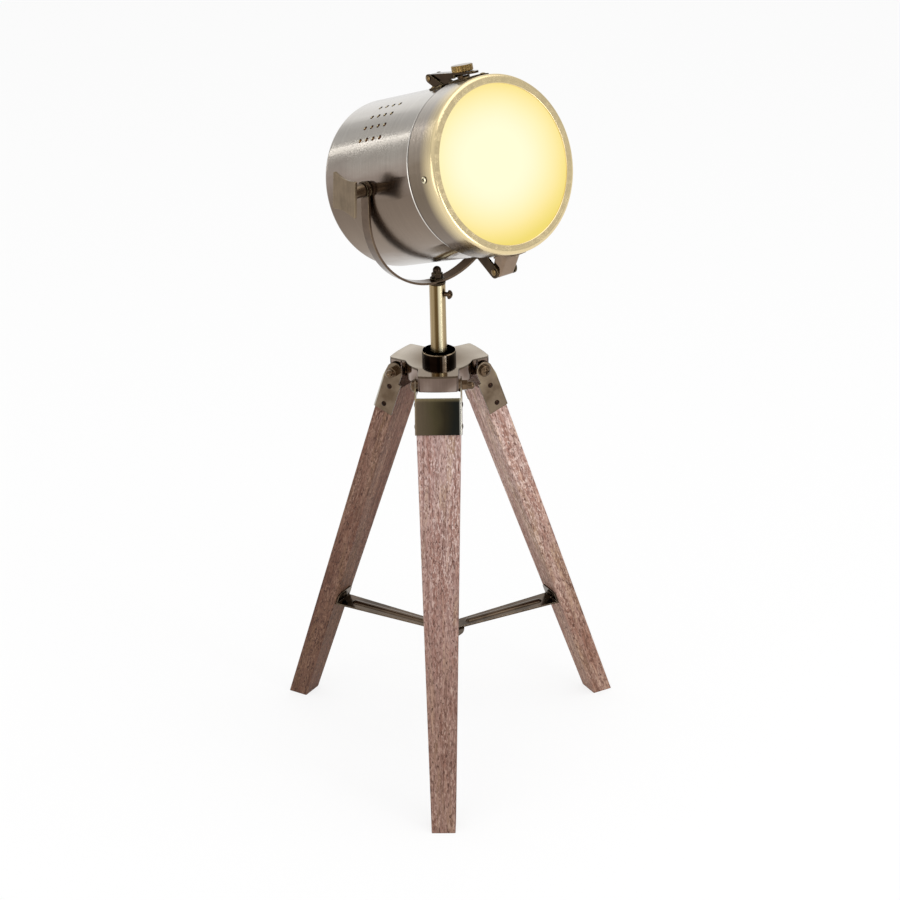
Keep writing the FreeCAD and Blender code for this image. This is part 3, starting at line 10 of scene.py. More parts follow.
import bmesh
import bpy
from mathutils import Matrix, Vector


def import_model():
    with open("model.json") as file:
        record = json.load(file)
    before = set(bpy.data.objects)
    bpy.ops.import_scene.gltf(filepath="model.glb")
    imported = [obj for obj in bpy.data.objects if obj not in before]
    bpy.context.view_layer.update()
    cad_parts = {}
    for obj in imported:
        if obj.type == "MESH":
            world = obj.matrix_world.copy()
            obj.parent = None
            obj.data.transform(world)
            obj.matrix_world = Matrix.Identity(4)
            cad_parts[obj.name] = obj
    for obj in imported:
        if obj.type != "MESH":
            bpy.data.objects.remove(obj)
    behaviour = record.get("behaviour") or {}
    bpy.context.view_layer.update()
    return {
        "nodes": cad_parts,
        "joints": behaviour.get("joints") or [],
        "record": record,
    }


MM = 0.001

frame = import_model()
nodes = frame["nodes"]
joints = {joint["name"]: joint for joint in frame["joints"]}

# ---- places that the finishes follow ------------------------------------------------------------
UPRIGHT = Matrix.Identity(4)
BEAM_RISE = 19.28  # degrees
AXIS_DROP = 5.0 * MM
TILT_AXIS = Vector(joints["head_tilt"]["pos_m"])
HEAD_TURN = Matrix.Rotation(math.radians(90 - BEAM_RISE), 4, "X")
HEAD_PLACE = Matrix.Translation(TILT_AXIS) @ HEAD_TURN @ Matrix.Translation((0, -AXIS_DROP, 0))


def ends(name, place):
    """Lowest and highest point of a node along a place's Z axis."""
    seen_from = place.inverted()
    levels = [(seen_from @ vertex.co).z for vertex in nodes[name].data.vertices]
    return min(levels), max(levels)


HUB_TOP = ends("hub_plate", UPRIGHT)[1]
HUB_ROUND = 2.2 * MM
COLLAR_TOP = ends("pole_collar", UPRIGHT)[1]
DRUM_RADIUS = 71.6 * MM
DRUM_LINING = DRUM_RADIUS - 0.7 * MM
DRUM_BACK = ends("drum_shell", HEAD_PLACE)[0]
DRUM_FRONT = 59.3 * MM  # its spigot goes on from here
BEZEL_BACK, BEZEL_FRONT = ends("bezel", HEAD_PLACE)
BEZEL_LINING = DRUM_RADIUS + 1.1 * MM
BEZEL_ROUND = 3.0 * MM
DOOR_SCREW_ANGLE = math.radians(86.6)  # from the head's top, on both sides
DOOR_SCREW_BACK = 12.45 * MM  # behind the bezel's front
DOOR_SCREW_RADIUS = 3.0 * MM
LEG_TURNS = {"front_left": -131.25, "right": -11.25, "rear": 108.75}  # degrees
LEG_LEAN = 19.65  # degrees
FOOT_RADIUS = 172.0 * MM
BOARD_HALF = 19.05 * MM
BRACKET_FRONT_TOP = 377.7 * MM  # top of a bracket's outer face, up the board
BRACKET_BROW = 3.4 * MM  # the stretch below that, with a painted highlight
TONE_SHIFT_TOP = 330.0 * MM  # where a board's darkening toward its foot ends, up the board


def leg_place(turn):
    """Frame of a leg's board: +X out of its outer face, +Y across it, +Z up it."""
    around = Matrix.Rotation(math.radians(turn), 4, "Z")
    lean = Matrix.Rotation(math.radians(-LEG_LEAN), 4, "Y")
    return around @ Matrix.Translation((FOOT_RADIUS, 0, 0)) @ lean


# ---- colours ------------------------------------------------------------------------------------
def srgb(red, green, blue):
    """Linear colour from 0-255 display values."""
    values = [level / 255 for level in (red, green, blue)]
    return tuple(v / 12.92 if v <= 0.04045 else ((v + 0.055) / 1.055) ** 2.4 for v in values) + (1.0,)


def grey(level):
    """Neutral linear colour."""
    return (level, level, level, 1.0)


def scaled(colour, share, lift=0.0):
    """A colour times a share, plus a lift, up to white."""
    return tuple(min(1.0, level * share + lift) for level in colour[:3]) + (1.0,)


# ---- node help ----------------------------------------------------------------------------------
NOISE_LOW = 0.3  # nearly all of a noise lies from here
NOISE_HIGH = 0.7  # to here
MIX_COLOUR_INPUTS = (0, 6, 7)
MIX_COLOUR_OUTPUT = 2


class Nodes:
    """Short ways to add nodes to a tree. Their values are sockets to link, or plain ones to set."""

    def __init__(self, tree):
        self.tree = tree

    def add(self, kind, **settings):
        node = self.tree.nodes.new(kind)
        for key, value in settings.items():
            setattr(node, key, value)
        return node

    def feed(self, value, target):
        """Link a socket to a target, or set the target to a plain value."""
        if isinstance(value, bpy.types.NodeSocket):
            self.tree.links.new(value, target)
        else:
            target.default_value = value

    def wire(self, node, **values):
        """Feed a node's inputs by name, with underscores for spaces."""
        for key, value in values.items():
            self.feed(value, node.inputs[key.replace("_", " ")])
        return node

    def feed_all(self, values, targets):
        """Feed values to targets in their order."""
        for value, target in zip(values, targets):
            self.feed(value, target)

    def maths(self, operation, *values):
        """Number worked out from one or two others."""
        node = self.add("ShaderNodeMath", operation=operation)
        self.feed_all(values, node.inputs)
        return node.outputs["Value"]

    def vectors(self, operation, *values):
        """Outputs of an operation on one or two vectors."""
        node = self.add("ShaderNodeVectorMath", operation=operation)
        self.feed_all(values, node.inputs)
        return node.outputs

    def span(self, value, low, high, to_low=0.0, to_high=1.0):
        """Map a range of a value to another, clamped."""
        node = self.wire(self.add("ShaderNodeMapRange"), Value=value, From_Min=low, From_Max=high,
                         To_Min=to_low, To_Max=to_high)
        return node.outputs["Result"]

    def ramp(self, value, stops):
        """Colours along a value; stops are (position, colour)."""
        node = self.wire(self.add("ShaderNodeValToRGB"), Fac=value)
        band = node.color_ramp
        while len(band.elements) < len(stops):
            band.elements.new(0.5)
        for element, (position, colour) in zip(band.elements, stops):
            element.position = position
            element.color = colour
        return node.outputs["Color"]

    def mix(self, factor, first, second, blend="MIX"):
        """Mix two colours, or two vectors."""
        node = self.add("ShaderNodeMix", data_type="RGBA", blend_type=blend)
        self.feed_all((factor, first, second), [node.inputs[place] for place in MIX_COLOUR_INPUTS])
        return node.outputs[MIX_COLOUR_OUTPUT]


class Finish(Nodes):
    """One procedural material in object coordinates."""

    def __init__(self, name):
        self.material = bpy.data.materials.new(name)
        self.material.use_nodes = True
        super().__init__(self.material.node_tree)
        self.shader = self.tree.nodes["Principled BSDF"]

    def set(self, **values):
        """Feed the shader's inputs by name, with underscores for spaces."""
        self.wire(self.shader, **values)

    def coordinates(self, place, scale=(1, 1, 1)):
        """Object coordinates seen from a place, then scaled."""
        source = self.add("ShaderNodeTexCoord").outputs["Object"]
        local = self.wire(self.add("ShaderNodeMapping", vector_type="TEXTURE"), Vector=source,
                          Location=place.to_translation(), Rotation=place.to_euler())
        stretched = self.wire(self.add("ShaderNodeMapping", vector_type="POINT"),
                              Vector=local.outputs["Vector"], Scale=scale)
        return stretched.outputs["Vector"]

    def axes(self, place):
        """The X, Y and Z of a place's coordinates."""
        split = self.wire(self.add("ShaderNodeSeparateXYZ"), Vector=self.coordinates(place))
        return split.outputs["X"], split.outputs["Y"], split.outputs["Z"]

    def reach(self, first, second):
        """Length of two numbers taken as a right-angled pair."""
        flat = self.wire(self.add("ShaderNodeCombineXYZ"), X=first, Y=second)
        return self.vectors("LENGTH", flat.outputs["Vector"])["Value"]

    def turned(self, place, spread, rate):
        """Coordinates that change fast along the profile of a form turned round Z, and slowly round it."""
        across, height, along = self.axes(place)
        profile = self.maths("SUBTRACT", along, self.reach(across, height))
        node = self.wire(self.add("ShaderNodeCombineXYZ"), X=self.maths("MULTIPLY", across, spread),
                         Y=self.maths("MULTIPLY", height, spread), Z=self.maths("MULTIPLY", profile, rate))
        return node.outputs["Vector"]

    def noise(self, vector, scale=1.0, detail=3.0, roughness=0.55, distortion=0.0):
        node = self.wire(self.add("ShaderNodeTexNoise"), Vector=vector, Scale=scale, Detail=detail,
                         Roughness=roughness, Distortion=distortion)
        return node.outputs["Fac"]

    def vary(self, noise, low, high):
        """Low to high, as a noise goes."""
        return self.span(noise, NOISE_LOW, NOISE_HIGH, low, high)

    def tint(self, colour, noise, low, high):
        """Colour times low to high, as a noise goes."""
        return self.mix(1.0, colour, self.vary(noise, low, high), "MULTIPLY")

    def stain(self, colour, mask, share, second):
        """Colour with a share of a second one where a mask is 1."""
        return self.mix(self.maths("MULTIPLY", mask, share), colour, second)

    def edge(self, radius):
        """The surface's normal with its edges rounded, and a mask of the edges that this changes."""
        bevel = self.wire(self.add("ShaderNodeBevel", samples=4), Radius=radius).outputs["Normal"]
        sharp = self.add("ShaderNodeNewGeometry").outputs["Normal"]
        likeness = self.vectors("DOT_PRODUCT", bevel, sharp)["Value"]
        return bevel, self.span(likeness, 0.995, 0.80)

    def bump(self, height, distance, strength, normal=None):
        """Let a height shape the surface, or a normal of it."""
        node = self.wire(self.add("ShaderNodeBump"), Height=height, Distance=distance, Strength=strength)
        if normal is not None:
            self.wire(node, Normal=normal)
        self.set(Normal=node.outputs["Normal"])

    def brush_round(self, place):
        """Stretch the gloss as brushing round a place's Z axis does. Gives the normal to use with it.

        On flat ends that is the true normal, because the smoothed one may lean toward the rim.
        """
        turn = self.add("ShaderNodeVectorTransform", vector_type="VECTOR", convert_from="OBJECT",
                        convert_to="WORLD")
        axis = self.wire(turn, Vector=place.to_3x3() @ Vector((0, 0, 1))).outputs["Vector"]
        surface = self.add("ShaderNodeNewGeometry").outputs
        facing = self.vectors("DOT_PRODUCT", axis, surface["True Normal"])["Value"]
        flat = self.span(self.maths("ABSOLUTE", facing), 0.999, 0.9995)
        normal = self.mix(flat, surface["Normal"], surface["True Normal"])
        tangent = self.vectors("CROSS_PRODUCT", axis, normal)["Vector"]
        self.set(Tangent=tangent, Anisotropic=0.8, Anisotropic_Rotation=0.25)
        return normal


# ---- finishes -----------------------------------------------------------------------------------
def metal(name, colour, roughness, place=UPRIGHT, lines=None, patina=0.06, edge_colour=None,
          edge_radius=0.35 * MM):
    """Antique plated metal: brushing lines, cloudy patina and edges of a colour of their own. A pale brass
    edge colour is partly wear and partly painted highlight; a dark one is painted shade.

    lines is how fast the brushing changes along the place's three axes, per metre. patina is how much
    the clouds darken and lighten the colour.
    """
    finish = Finish(name)
    cloud = finish.noise(finish.coordinates(place), scale=38.0, detail=4.0, roughness=0.6)
    shade = finish.ramp(cloud, [(0.30, scaled(colour, 1 - 2.2 * patina)), (0.52, colour),
                                (0.75, scaled(colour, 1 + 1.4 * patina))])
    rough = finish.vary(cloud, roughness * 0.86, roughness * 1.16)
    if lines:
        height = finish.noise(finish.coordinates(place, lines), detail=5.0, roughness=0.7)
        shade = finish.tint(shade, height, 0.84, 1.13)
        rough = finish.maths("ADD", rough, finish.vary(height, -0.05, 0.05))
    else:
        height = finish.noise(finish.coordinates(place), scale=900.0, detail=2.0)
    normal = None
    # Edge colour on the edges: pale brass is partly wear and partly painted highlight, a dark colour is
    # painted shade.
    if edge_colour:
        normal, edge_mask = finish.edge(edge_radius)
        shade = finish.stain(shade, edge_mask, 0.6, edge_colour)
    finish.set(Metallic=1.0, Base_Color=shade, Roughness=rough)
    finish.bump(height, 0.012 * MM, 0.35, normal)
    return finish.material


def turned_metal(name, painted_light_by_height, front, lining_and_glow, seam=None, roughness=0.15):
    """Nickel brushed round the head's axis.

    painted_light_by_height is its colours by height over that axis, in millimetres: painted light and
    shade, lighter on top and at the bottom edge and darker between, as the surroundings reflect in it.
    front is where its front's colour begins and is full, and that colour; on the drum that colour is a
    painted highlight on the rim's bead. lining_and_glow is a radius and the two ends of a dull dark inner
    face, tinted orange as painted warm light from the bulb. seam is where a painted shadow of the gap to
    the next piece starts.
    """
    finish = Finish(name)
    across, height, along = finish.axes(HEAD_PLACE)
    cloud = finish.noise(finish.coordinates(HEAD_PLACE, (1, 1, 0.35)), scale=26.0, detail=4.0,
                         roughness=0.6)
    drift = finish.vary(cloud, -7.0 * MM, 7.0 * MM)
    # Painted light and shade by height: lighter on top and at the bottom edge, darker between.
    level = finish.span(finish.maths("ADD", height, drift), -DRUM_RADIUS, DRUM_RADIUS)
    shade = finish.ramp(level, [((up * MM + DRUM_RADIUS) / (2 * DRUM_RADIUS), colour)
                                for up, colour in painted_light_by_height])
    begins, full, front_colour = front
    shade = finish.mix(finish.span(along, begins, full), shade, front_colour)
    broad = finish.noise(finish.turned(HEAD_PLACE, spread=9, rate=1300), detail=3.0, roughness=0.6)
    fine = finish.noise(finish.turned(HEAD_PLACE, spread=14, rate=4200), detail=4.0, roughness=0.7)
    brushing = finish.maths("MULTIPLY", finish.vary(broad, 0.94, 1.05), finish.vary(fine, 0.90, 1.09))
    shade = finish.mix(1.0, shade, brushing, "MULTIPLY")
    if seam:
        # Painted shadow of the gap between bezel and drum, along the bezel's back edge.
        joint = finish.span(along, seam + 1.1 * MM, seam + 0.7 * MM)
        shade = finish.mix(joint, shade, srgb(40, 30, 24))
    # Inside the shell: a dull dark inner face, tinted orange as painted warm light from the bulb.
    radius, starts, ends_at = lining_and_glow
    inside = finish.span(finish.reach(across, height), radius + 0.1 * MM, radius)
    for limit, step in ((starts, 1.0 * MM), (ends_at, -1.0 * MM)):
        inside = finish.maths("MULTIPLY", inside, finish.span(along, limit, limit + step))
    rough = finish.vary(fine, roughness * 0.85, roughness * 1.15)
    dulled = finish.maths("ADD", rough, finish.span(inside, 0.0, 1.0, 0.0, 0.4))
    finish.set(Metallic=1.0, Base_Color=finish.mix(inside, shade, srgb(96, 50, 30)), Roughness=dulled)
    finish.bump(fine, 0.010 * MM, 0.2, finish.brush_round(HEAD_PLACE))
    return finish.material


def tube_metal(name, bright, dull, turns, tone_shift, roughness, bands, cap=None):
    """Polished upright brass: streaks that run up it, turns to the radian, bright above tone_shift in their
    noise, partly patina and partly painted highlight.

    bands are the bearing and half width in radians of painted bands, a dark one as painted reflection and a
    bright one as painted highlight, and their colour. cap is the height of a top face painted lighter than
    the side, as a painted reflection.
    """
    finish = Finish(name)
    across, deep, height = finish.axes(UPRIGHT)
    bearing = finish.maths("ARCTAN2", deep, across)
    round_it = finish.wire(finish.add("ShaderNodeCombineXYZ"), X=finish.maths("MULTIPLY", bearing, turns))
    streak = finish.noise(round_it.outputs["Vector"], detail=2.0, roughness=0.5)
    fine = finish.noise(finish.coordinates(UPRIGHT, (700, 700, 12)), detail=2.0, roughness=0.5)
    # Streaks: partly patina, partly painted highlight where they turn bright.
    shade = finish.mix(finish.span(streak, tone_shift, tone_shift + 0.2), dull, bright)
    # Painted bands at fixed bearings: dark ones are painted reflection, bright ones painted highlight.
    for middle, half, colour in bands:
        off = finish.maths("ABSOLUTE", finish.maths("SUBTRACT", bearing, middle))
        shade = finish.mix(finish.span(off, half, half * 0.3), shade, colour)
    if cap:
        # Painted reflection: the top face lighter than the side.
        top = finish.span(height, cap - 0.8 * MM, cap - 0.3 * MM)
        shade = finish.mix(top, shade, srgb(150, 132, 108))
    finish.set(Metallic=1.0, Base_Color=finish.tint(shade, fine, 0.93, 1.05),
               Roughness=finish.vary(fine, roughness * 0.85, roughness * 1.15))
    finish.bump(fine, 0.006 * MM, 0.2, finish.brush_round(UPRIGHT))
    return finish.material


def hub_metal(name):
    """Light nickel on top of the hub plate, with painted shade: darker round the collar and over the front
    lobe, a darker skirt, and a dark line along the rounded fold and at the edges.
    """
    finish = Finish(name)
    across, deep, height = finish.axes(UPRIGHT)
    cloud = finish.noise(finish.coordinates(UPRIGHT), scale=30.0, detail=2.0, roughness=0.5)
    top = finish.ramp(cloud, [(0.30, srgb(166, 154, 138)), (0.52, srgb(182, 171, 155)),
                              (0.72, srgb(192, 182, 168))])
    # The skirt's darker colours are painted shade on the side faces.
    skirt = finish.ramp(cloud, [(0.35, srgb(96, 80, 71)), (0.50, srgb(122, 105, 95)),
                                (0.66, srgb(166, 151, 142))])
    # Painted shade: darker round the collar and over the front lobe.
    toward_front, _, _ = finish.axes(Matrix.Rotation(math.radians(LEG_TURNS["front_left"]), 4, "Z"))
    collar_shade = finish.span(finish.reach(across, deep), 36.0 * MM, 16.0 * MM)
    front_lobe_shade = finish.span(toward_front, 10.0 * MM, 24.0 * MM, 0.0, 0.85)
    top = finish.mix(finish.maths("MAXIMUM", collar_shade, front_lobe_shade), top, srgb(118, 101, 80))
    below = finish.span(height, HUB_TOP - 1.0 * MM, HUB_TOP - 2.4 * MM)
    brushing = finish.noise(finish.coordinates(UPRIGHT, (900, 900, 30)), detail=4.0, roughness=0.7)
    shade = finish.tint(finish.mix(below, top, skirt), brushing, 0.92, 1.06)
    # Painted shade: a dark line along the rounded fold, and on the edges.
    fold_shade = finish.ramp(finish.span(height, HUB_TOP - HUB_ROUND, HUB_TOP),
                          [(0.0, grey(0)), (0.35, grey(1)), (0.85, grey(1)), (1.0, grey(0))])
    normal, edge_mask = finish.edge(0.8 * MM)
    shade = finish.stain(shade, finish.maths("MAXIMUM", edge_mask, fold_shade), 0.75, srgb(52, 39, 30))
    finish.set(Metallic=1.0, Base_Color=shade, Roughness=finish.vary(cloud, 0.07, 0.11))
    finish.bump(brushing, 0.008 * MM, 0.3, normal)
    return finish.material


def bracket_metal(name, place):
    """Bronzed brass plate. Its outer face darkens toward one side across the board as a painted reflection,
    with a painted highlight along its top and one edge, and painted shade on the edges.
    """
    finish = Finish(name)
    out, across, up = finish.axes(place)
    cloud = finish.noise(finish.coordinates(place), scale=40.0, detail=4.0, roughness=0.6)
    ear = finish.ramp(cloud, [(0.32, srgb(96, 80, 64)), (0.52, srgb(124, 108, 91)),
                              (0.72, srgb(142, 127, 106))])
    # Painted reflection: the outer face darkens across the board toward +Y.
    slant = finish.maths("ADD", across, finish.vary(cloud, -3.0 * MM, 3.0 * MM))
    plate = finish.ramp(finish.span(slant, -BOARD_HALF, BOARD_HALF),
                        [(0.08, srgb(112, 98, 80)), (0.40, srgb(88, 79, 57)), (0.62, srgb(60, 53, 39)),
                         (0.85, srgb(40, 41, 37))])
    # Painted highlight along the outer face's +Y edge.
    lit_edge = finish.span(across, BOARD_HALF - 1.3 * MM, BOARD_HALF - 0.7 * MM)
    plate = finish.mix(lit_edge, plate, srgb(186, 182, 172))
    # Painted highlight along the top of the outer face.
    brow = finish.span(up, BRACKET_FRONT_TOP - BRACKET_BROW, BRACKET_FRONT_TOP)
    plate = finish.stain(plate, brow, 0.45, srgb(190, 172, 130))
    outer = finish.span(out, -0.6 * MM, -0.1 * MM)
    brushing = finish.noise(finish.coordinates(place, (20, 1500, 20)), detail=4.0, roughness=0.7)
    shade = finish.tint(finish.mix(outer, ear, plate), brushing, 0.86, 1.10)
    # Painted shade on the edges.
    normal, edge_mask = finish.edge(0.7 * MM)
    finish.set(Metallic=1.0, Base_Color=finish.stain(shade, edge_mask, 0.6, srgb(48, 38, 30)),
               Roughness=finish.vary(cloud, 0.17, 0.25))
    finish.bump(brushing, 0.010 * MM, 0.35, normal)
    return finish.material


def dished_screws(name, pale, dark):
    """Screw heads on the bezel's sides: a pale ring with a painted shade of a socket in the middle and
    painted shade at the rim.
    """
    finish = Finish(name)
    across, height, along = finish.axes(HEAD_PLACE)
    outward = finish.maths("ABSOLUTE", across)
    rise = finish.maths("SUBTRACT", finish.maths("MULTIPLY", height, math.sin(DOOR_SCREW_ANGLE)),
                        finish.maths("MULTIPLY", outward, math.cos(DOOR_SCREW_ANGLE)))
    off = finish.reach(rise, finish.maths("SUBTRACT", along, BEZEL_FRONT - DOOR_SCREW_BACK))
    cloud = finish.noise(finish.coordinates(HEAD_PLACE), scale=700.0, detail=2.0)
    wander = finish.maths("ADD", off, finish.vary(cloud, -0.2 * MM, 0.2 * MM))
    # Painted shade: a dark middle for a socket and a dark rim, round a pale ring.
    shade = finish.ramp(finish.span(wander, 0.0, DOOR_SCREW_RADIUS),
                        [(0.36, dark), (0.50, pale), (0.84, pale), (0.97, dark)])
    finish.set(Metallic=1.0, Base_Color=shade, Roughness=finish.vary(cloud, 0.16, 0.26))
    return finish.material


def limed_wood(name, place, shift, tone_and_light):
    """Weathered hardwood with lime worked into its pores, the grain running up the board.

    shift moves the figure along the grain, so that no two boards are alike. tone_and_light is a share of
    each colour channel for the board: partly the boards' own difference, partly painted light and shade,
    lighter on the right leg and darker and browner on the rear one as light falls on them.
    """
    finish = Finish(name)
    shifted = place @ Matrix.Translation((0, 0, shift))

    def pattern(stretch, **settings):
        return finish.noise(finish.coordinates(shifted, stretch), **settings)

    figure = pattern((1, 1, 0.12), scale=85.0, detail=4.0, roughness=0.6, distortion=0.8)
    streaks = pattern((400, 400, 13), detail=4.0, roughness=0.6, distortion=0.5)
    grain = pattern((540, 540, 150), detail=4.0, roughness=0.65, distortion=0.7)
    pores = pattern((760, 760, 230), detail=3.0, roughness=0.6, distortion=0.4)
    lime = pattern((680, 680, 210), detail=4.0, roughness=0.65, distortion=0.7)
    patches = pattern((1, 1, 0.2), scale=55.0, detail=3.0, roughness=0.6, distortion=0.6)
    shade = finish.ramp(figure, [(0.30, srgb(134, 96, 86)), (0.42, srgb(150, 116, 106)),
                                 (0.52, srgb(163, 136, 130)), (0.62, srgb(160, 134, 118)),
                                 (0.74, srgb(146, 116, 92))])
    shade = finish.mix(finish.span(streaks, 0.48, 0.36, 0.0, 0.70), shade, srgb(106, 74, 60))
    shade = finish.mix(finish.span(streaks, 0.54, 0.66, 0.0, 0.50), shade, srgb(196, 170, 154))
    shade = finish.mix(finish.span(grain, 0.50, 0.60, 0.0, 0.62), shade, srgb(106, 76, 68))
    limed = finish.maths("MULTIPLY", finish.span(lime, 0.51, 0.60),
                         finish.span(patches, 0.38, 0.60, 0.22, 0.72))
    shade = finish.mix(limed, shade, srgb(212, 194, 188))
    shade = finish.mix(finish.span(pores, 0.44, 0.36, 0.0, 0.9), shade, srgb(84, 56, 48))
    _, _, up = finish.axes(place)
    # Darker toward the foot of the board.
    tone_shift = finish.ramp(finish.span(up, 0.0, TONE_SHIFT_TOP),
                       [(0.0, srgb(204, 193, 181)), (0.30, srgb(202, 189, 177)),
                        (0.62, srgb(230, 224, 219)), (1.0, srgb(255, 255, 255))])
    # Darker toward the foot, then each leg's share, which is partly its own colour and partly painted light
    # and shade.
    for share in (tone_shift, tone_and_light):
        shade = finish.mix(1.0, shade, share, "MULTIPLY")
    normal, edge_mask = finish.edge(0.9 * MM)
    finish.set(Base_Color=finish.stain(shade, edge_mask, 0.35, srgb(104, 78, 66)),
               Roughness=finish.vary(lime, 0.58, 0.82), Specular_IOR_Level=0.3)
    relief = finish.maths("ADD", finish.span(pores, 0.28, 0.5), finish.span(grain, 0.3, 0.75, 0.6, 0.0))
    finish.bump(relief, 0.22 * MM, 0.75, normal)
    return finish.material


LENS_GLOW = [(0.29, srgb(254, 252, 214)), (0.38, srgb(254, 249, 209)), (0.47, srgb(254, 246, 199)),
             (0.56, srgb(254, 242, 185)), (0.65, srgb(253, 236, 168)), (0.75, srgb(249, 228, 142)),
             (0.86, srgb(240, 218, 112))]
GLOW_SIDEWAYS = 8.5 * MM
GLOW_RISE = 6.0 * MM
GLOW_REACH = 80.0 * MM
GLOW_SQUEEZE = 0.8


def opal_lens(name):
    """Opal glass lit from behind: nearly white near its middle, yellow toward the rim.

    The glow's middle is a little off the lens's, and the glow is wider than it is tall.
    """
    finish = Finish(name)
    across, height, _ = finish.axes(HEAD_PLACE)
    sideways = finish.maths("MULTIPLY", finish.maths("ADD", across, GLOW_SIDEWAYS), GLOW_SQUEEZE)
    upward = finish.maths("SUBTRACT", height, GLOW_RISE)
    cloud = finish.noise(finish.coordinates(HEAD_PLACE), scale=14.0, detail=2.0)
    distance = finish.maths("ADD", finish.reach(sideways, upward), finish.vary(cloud, -1.5 * MM, 1.5 * MM))
    glow = finish.ramp(finish.span(distance, 0.0, GLOW_REACH), LENS_GLOW)
    finish.set(Base_Color=srgb(30, 28, 20), Emission_Color=glow, Emission_Strength=1.0, Roughness=0.22,
               Specular_IOR_Level=0.25)
    finish.bump(finish.noise(finish.coordinates(HEAD_PLACE), scale=260.0, detail=2.0), 0.02 * MM, 0.3)
    return finish.material


def glowing_bulb(name):
    """Lit bulb glass with a soft inner glow."""
    finish = Finish(name)
    cloud = finish.noise(finish.coordinates(HEAD_PLACE), scale=30.0, detail=2.0)
    glow = finish.ramp(cloud, [(0.3, srgb(255, 176, 96)), (0.7, srgb(255, 206, 140))])
    finish.set(Base_Color=srgb(250, 240, 220), Emission_Color=glow, Emission_Strength=4.0, Roughness=0.3)
    return finish.material


def moulded(name, colour, roughness):
    """Moulded plastic with a faint orange-peel skin."""
    finish = Finish(name)
    grain = finish.noise(finish.coordinates(HEAD_PLACE), scale=700.0, detail=3.0)
    finish.set(Base_Color=finish.mix(grain, colour, scaled(colour, 1.5, 0.004)),
               Roughness=finish.vary(grain, roughness * 0.9, roughness * 1.1))
    finish.bump(grain, 0.03 * MM, 0.3)
    return finish.material


# ---- every node's finish ------------------------------------------------------------------------
# Pale edge colours in this table are partly wear and partly painted highlight.
BRASS_EDGE = srgb(206, 186, 142)
BAND_LINES = (900, 12, 12)
METALS = {
    "swivel_metal": dict(colour=srgb(62, 50, 40), roughness=0.16, lines=BAND_LINES, patina=0.2,
                         edge_colour=BRASS_EDGE),
    "yoke": dict(colour=srgb(98, 82, 69), roughness=0.16, lines=BAND_LINES, patina=0.2,
                 edge_colour=BRASS_EDGE),
    # The leg bolts' and nuts' dark edges are painted shade.
    "leg_hardware": dict(colour=srgb(112, 92, 72), roughness=0.10, patina=0.3,
                         edge_colour=srgb(40, 30, 24), edge_radius=0.7 * MM),
    "bracket_screws": dict(colour=srgb(46, 32, 25), roughness=0.30, patina=0.2),
    "plain_steel": dict(colour=srgb(150, 146, 140), roughness=0.35, patina=0.1),
    "brace_metal": dict(colour=srgb(92, 78, 64), roughness=0.18, lines=(60, 60, 900), patina=0.24,
                        edge_colour=srgb(168, 152, 134)),
    "brace_hardware": dict(colour=srgb(70, 60, 50), roughness=0.25, patina=0.2),
    "lock_screw_metal": dict(colour=srgb(70, 54, 40), roughness=0.16, patina=0.25,
                             edge_colour=BRASS_EDGE),
    "knob_metal": dict(colour=srgb(124, 108, 89), roughness=0.20, lines=(40, 1100, 40), patina=0.16,
                       edge_colour=BRASS_EDGE),
    "hinge_leaf": dict(colour=srgb(136, 116, 98), roughness=0.16, patina=0.2,
                       edge_colour=srgb(222, 208, 180)),
    "fitting_metal": dict(colour=srgb(58, 45, 32), roughness=0.13, patina=0.3,
                          edge_colour=srgb(216, 194, 140)),
    "fitting_hardware": dict(colour=srgb(120, 98, 66), roughness=0.18, patina=0.25,
                             edge_colour=BRASS_EDGE),
    "thumb_screw_metal": dict(colour=srgb(108, 85, 48), roughness=0.13, patina=0.32,
                              edge_colour=srgb(224, 198, 138)),
    "clip_metal": dict(colour=srgb(150, 148, 142), roughness=0.35, patina=0.1),
    "bulb_cap_metal": dict(colour=srgb(190, 190, 188), roughness=0.30, place=HEAD_PLACE,
                           lines=(3, 3, 2600)),
}
# Painted light and shade on drum and bezel, in millimetres over the axis: lighter at the bottom edge and on
# top, darker round the middle.
DRUM_PAINTED_LIGHT = [(-66, srgb(174, 166, 158)), (-52, srgb(134, 118, 103)), (-8, srgb(116, 101, 88)),
                (16, srgb(143, 129, 119)), (38, srgb(188, 181, 171)), (66, srgb(202, 198, 192))]
BEZEL_PAINTED_LIGHT = [(-66, srgb(154, 144, 132)), (-50, srgb(124, 110, 97)), (-8, srgb(112, 99, 84)),
                 (16, srgb(130, 116, 101)), (38, srgb(176, 164, 151)), (66, srgb(200, 194, 186))]
SMOOTH_BELOW = math.radians(32)

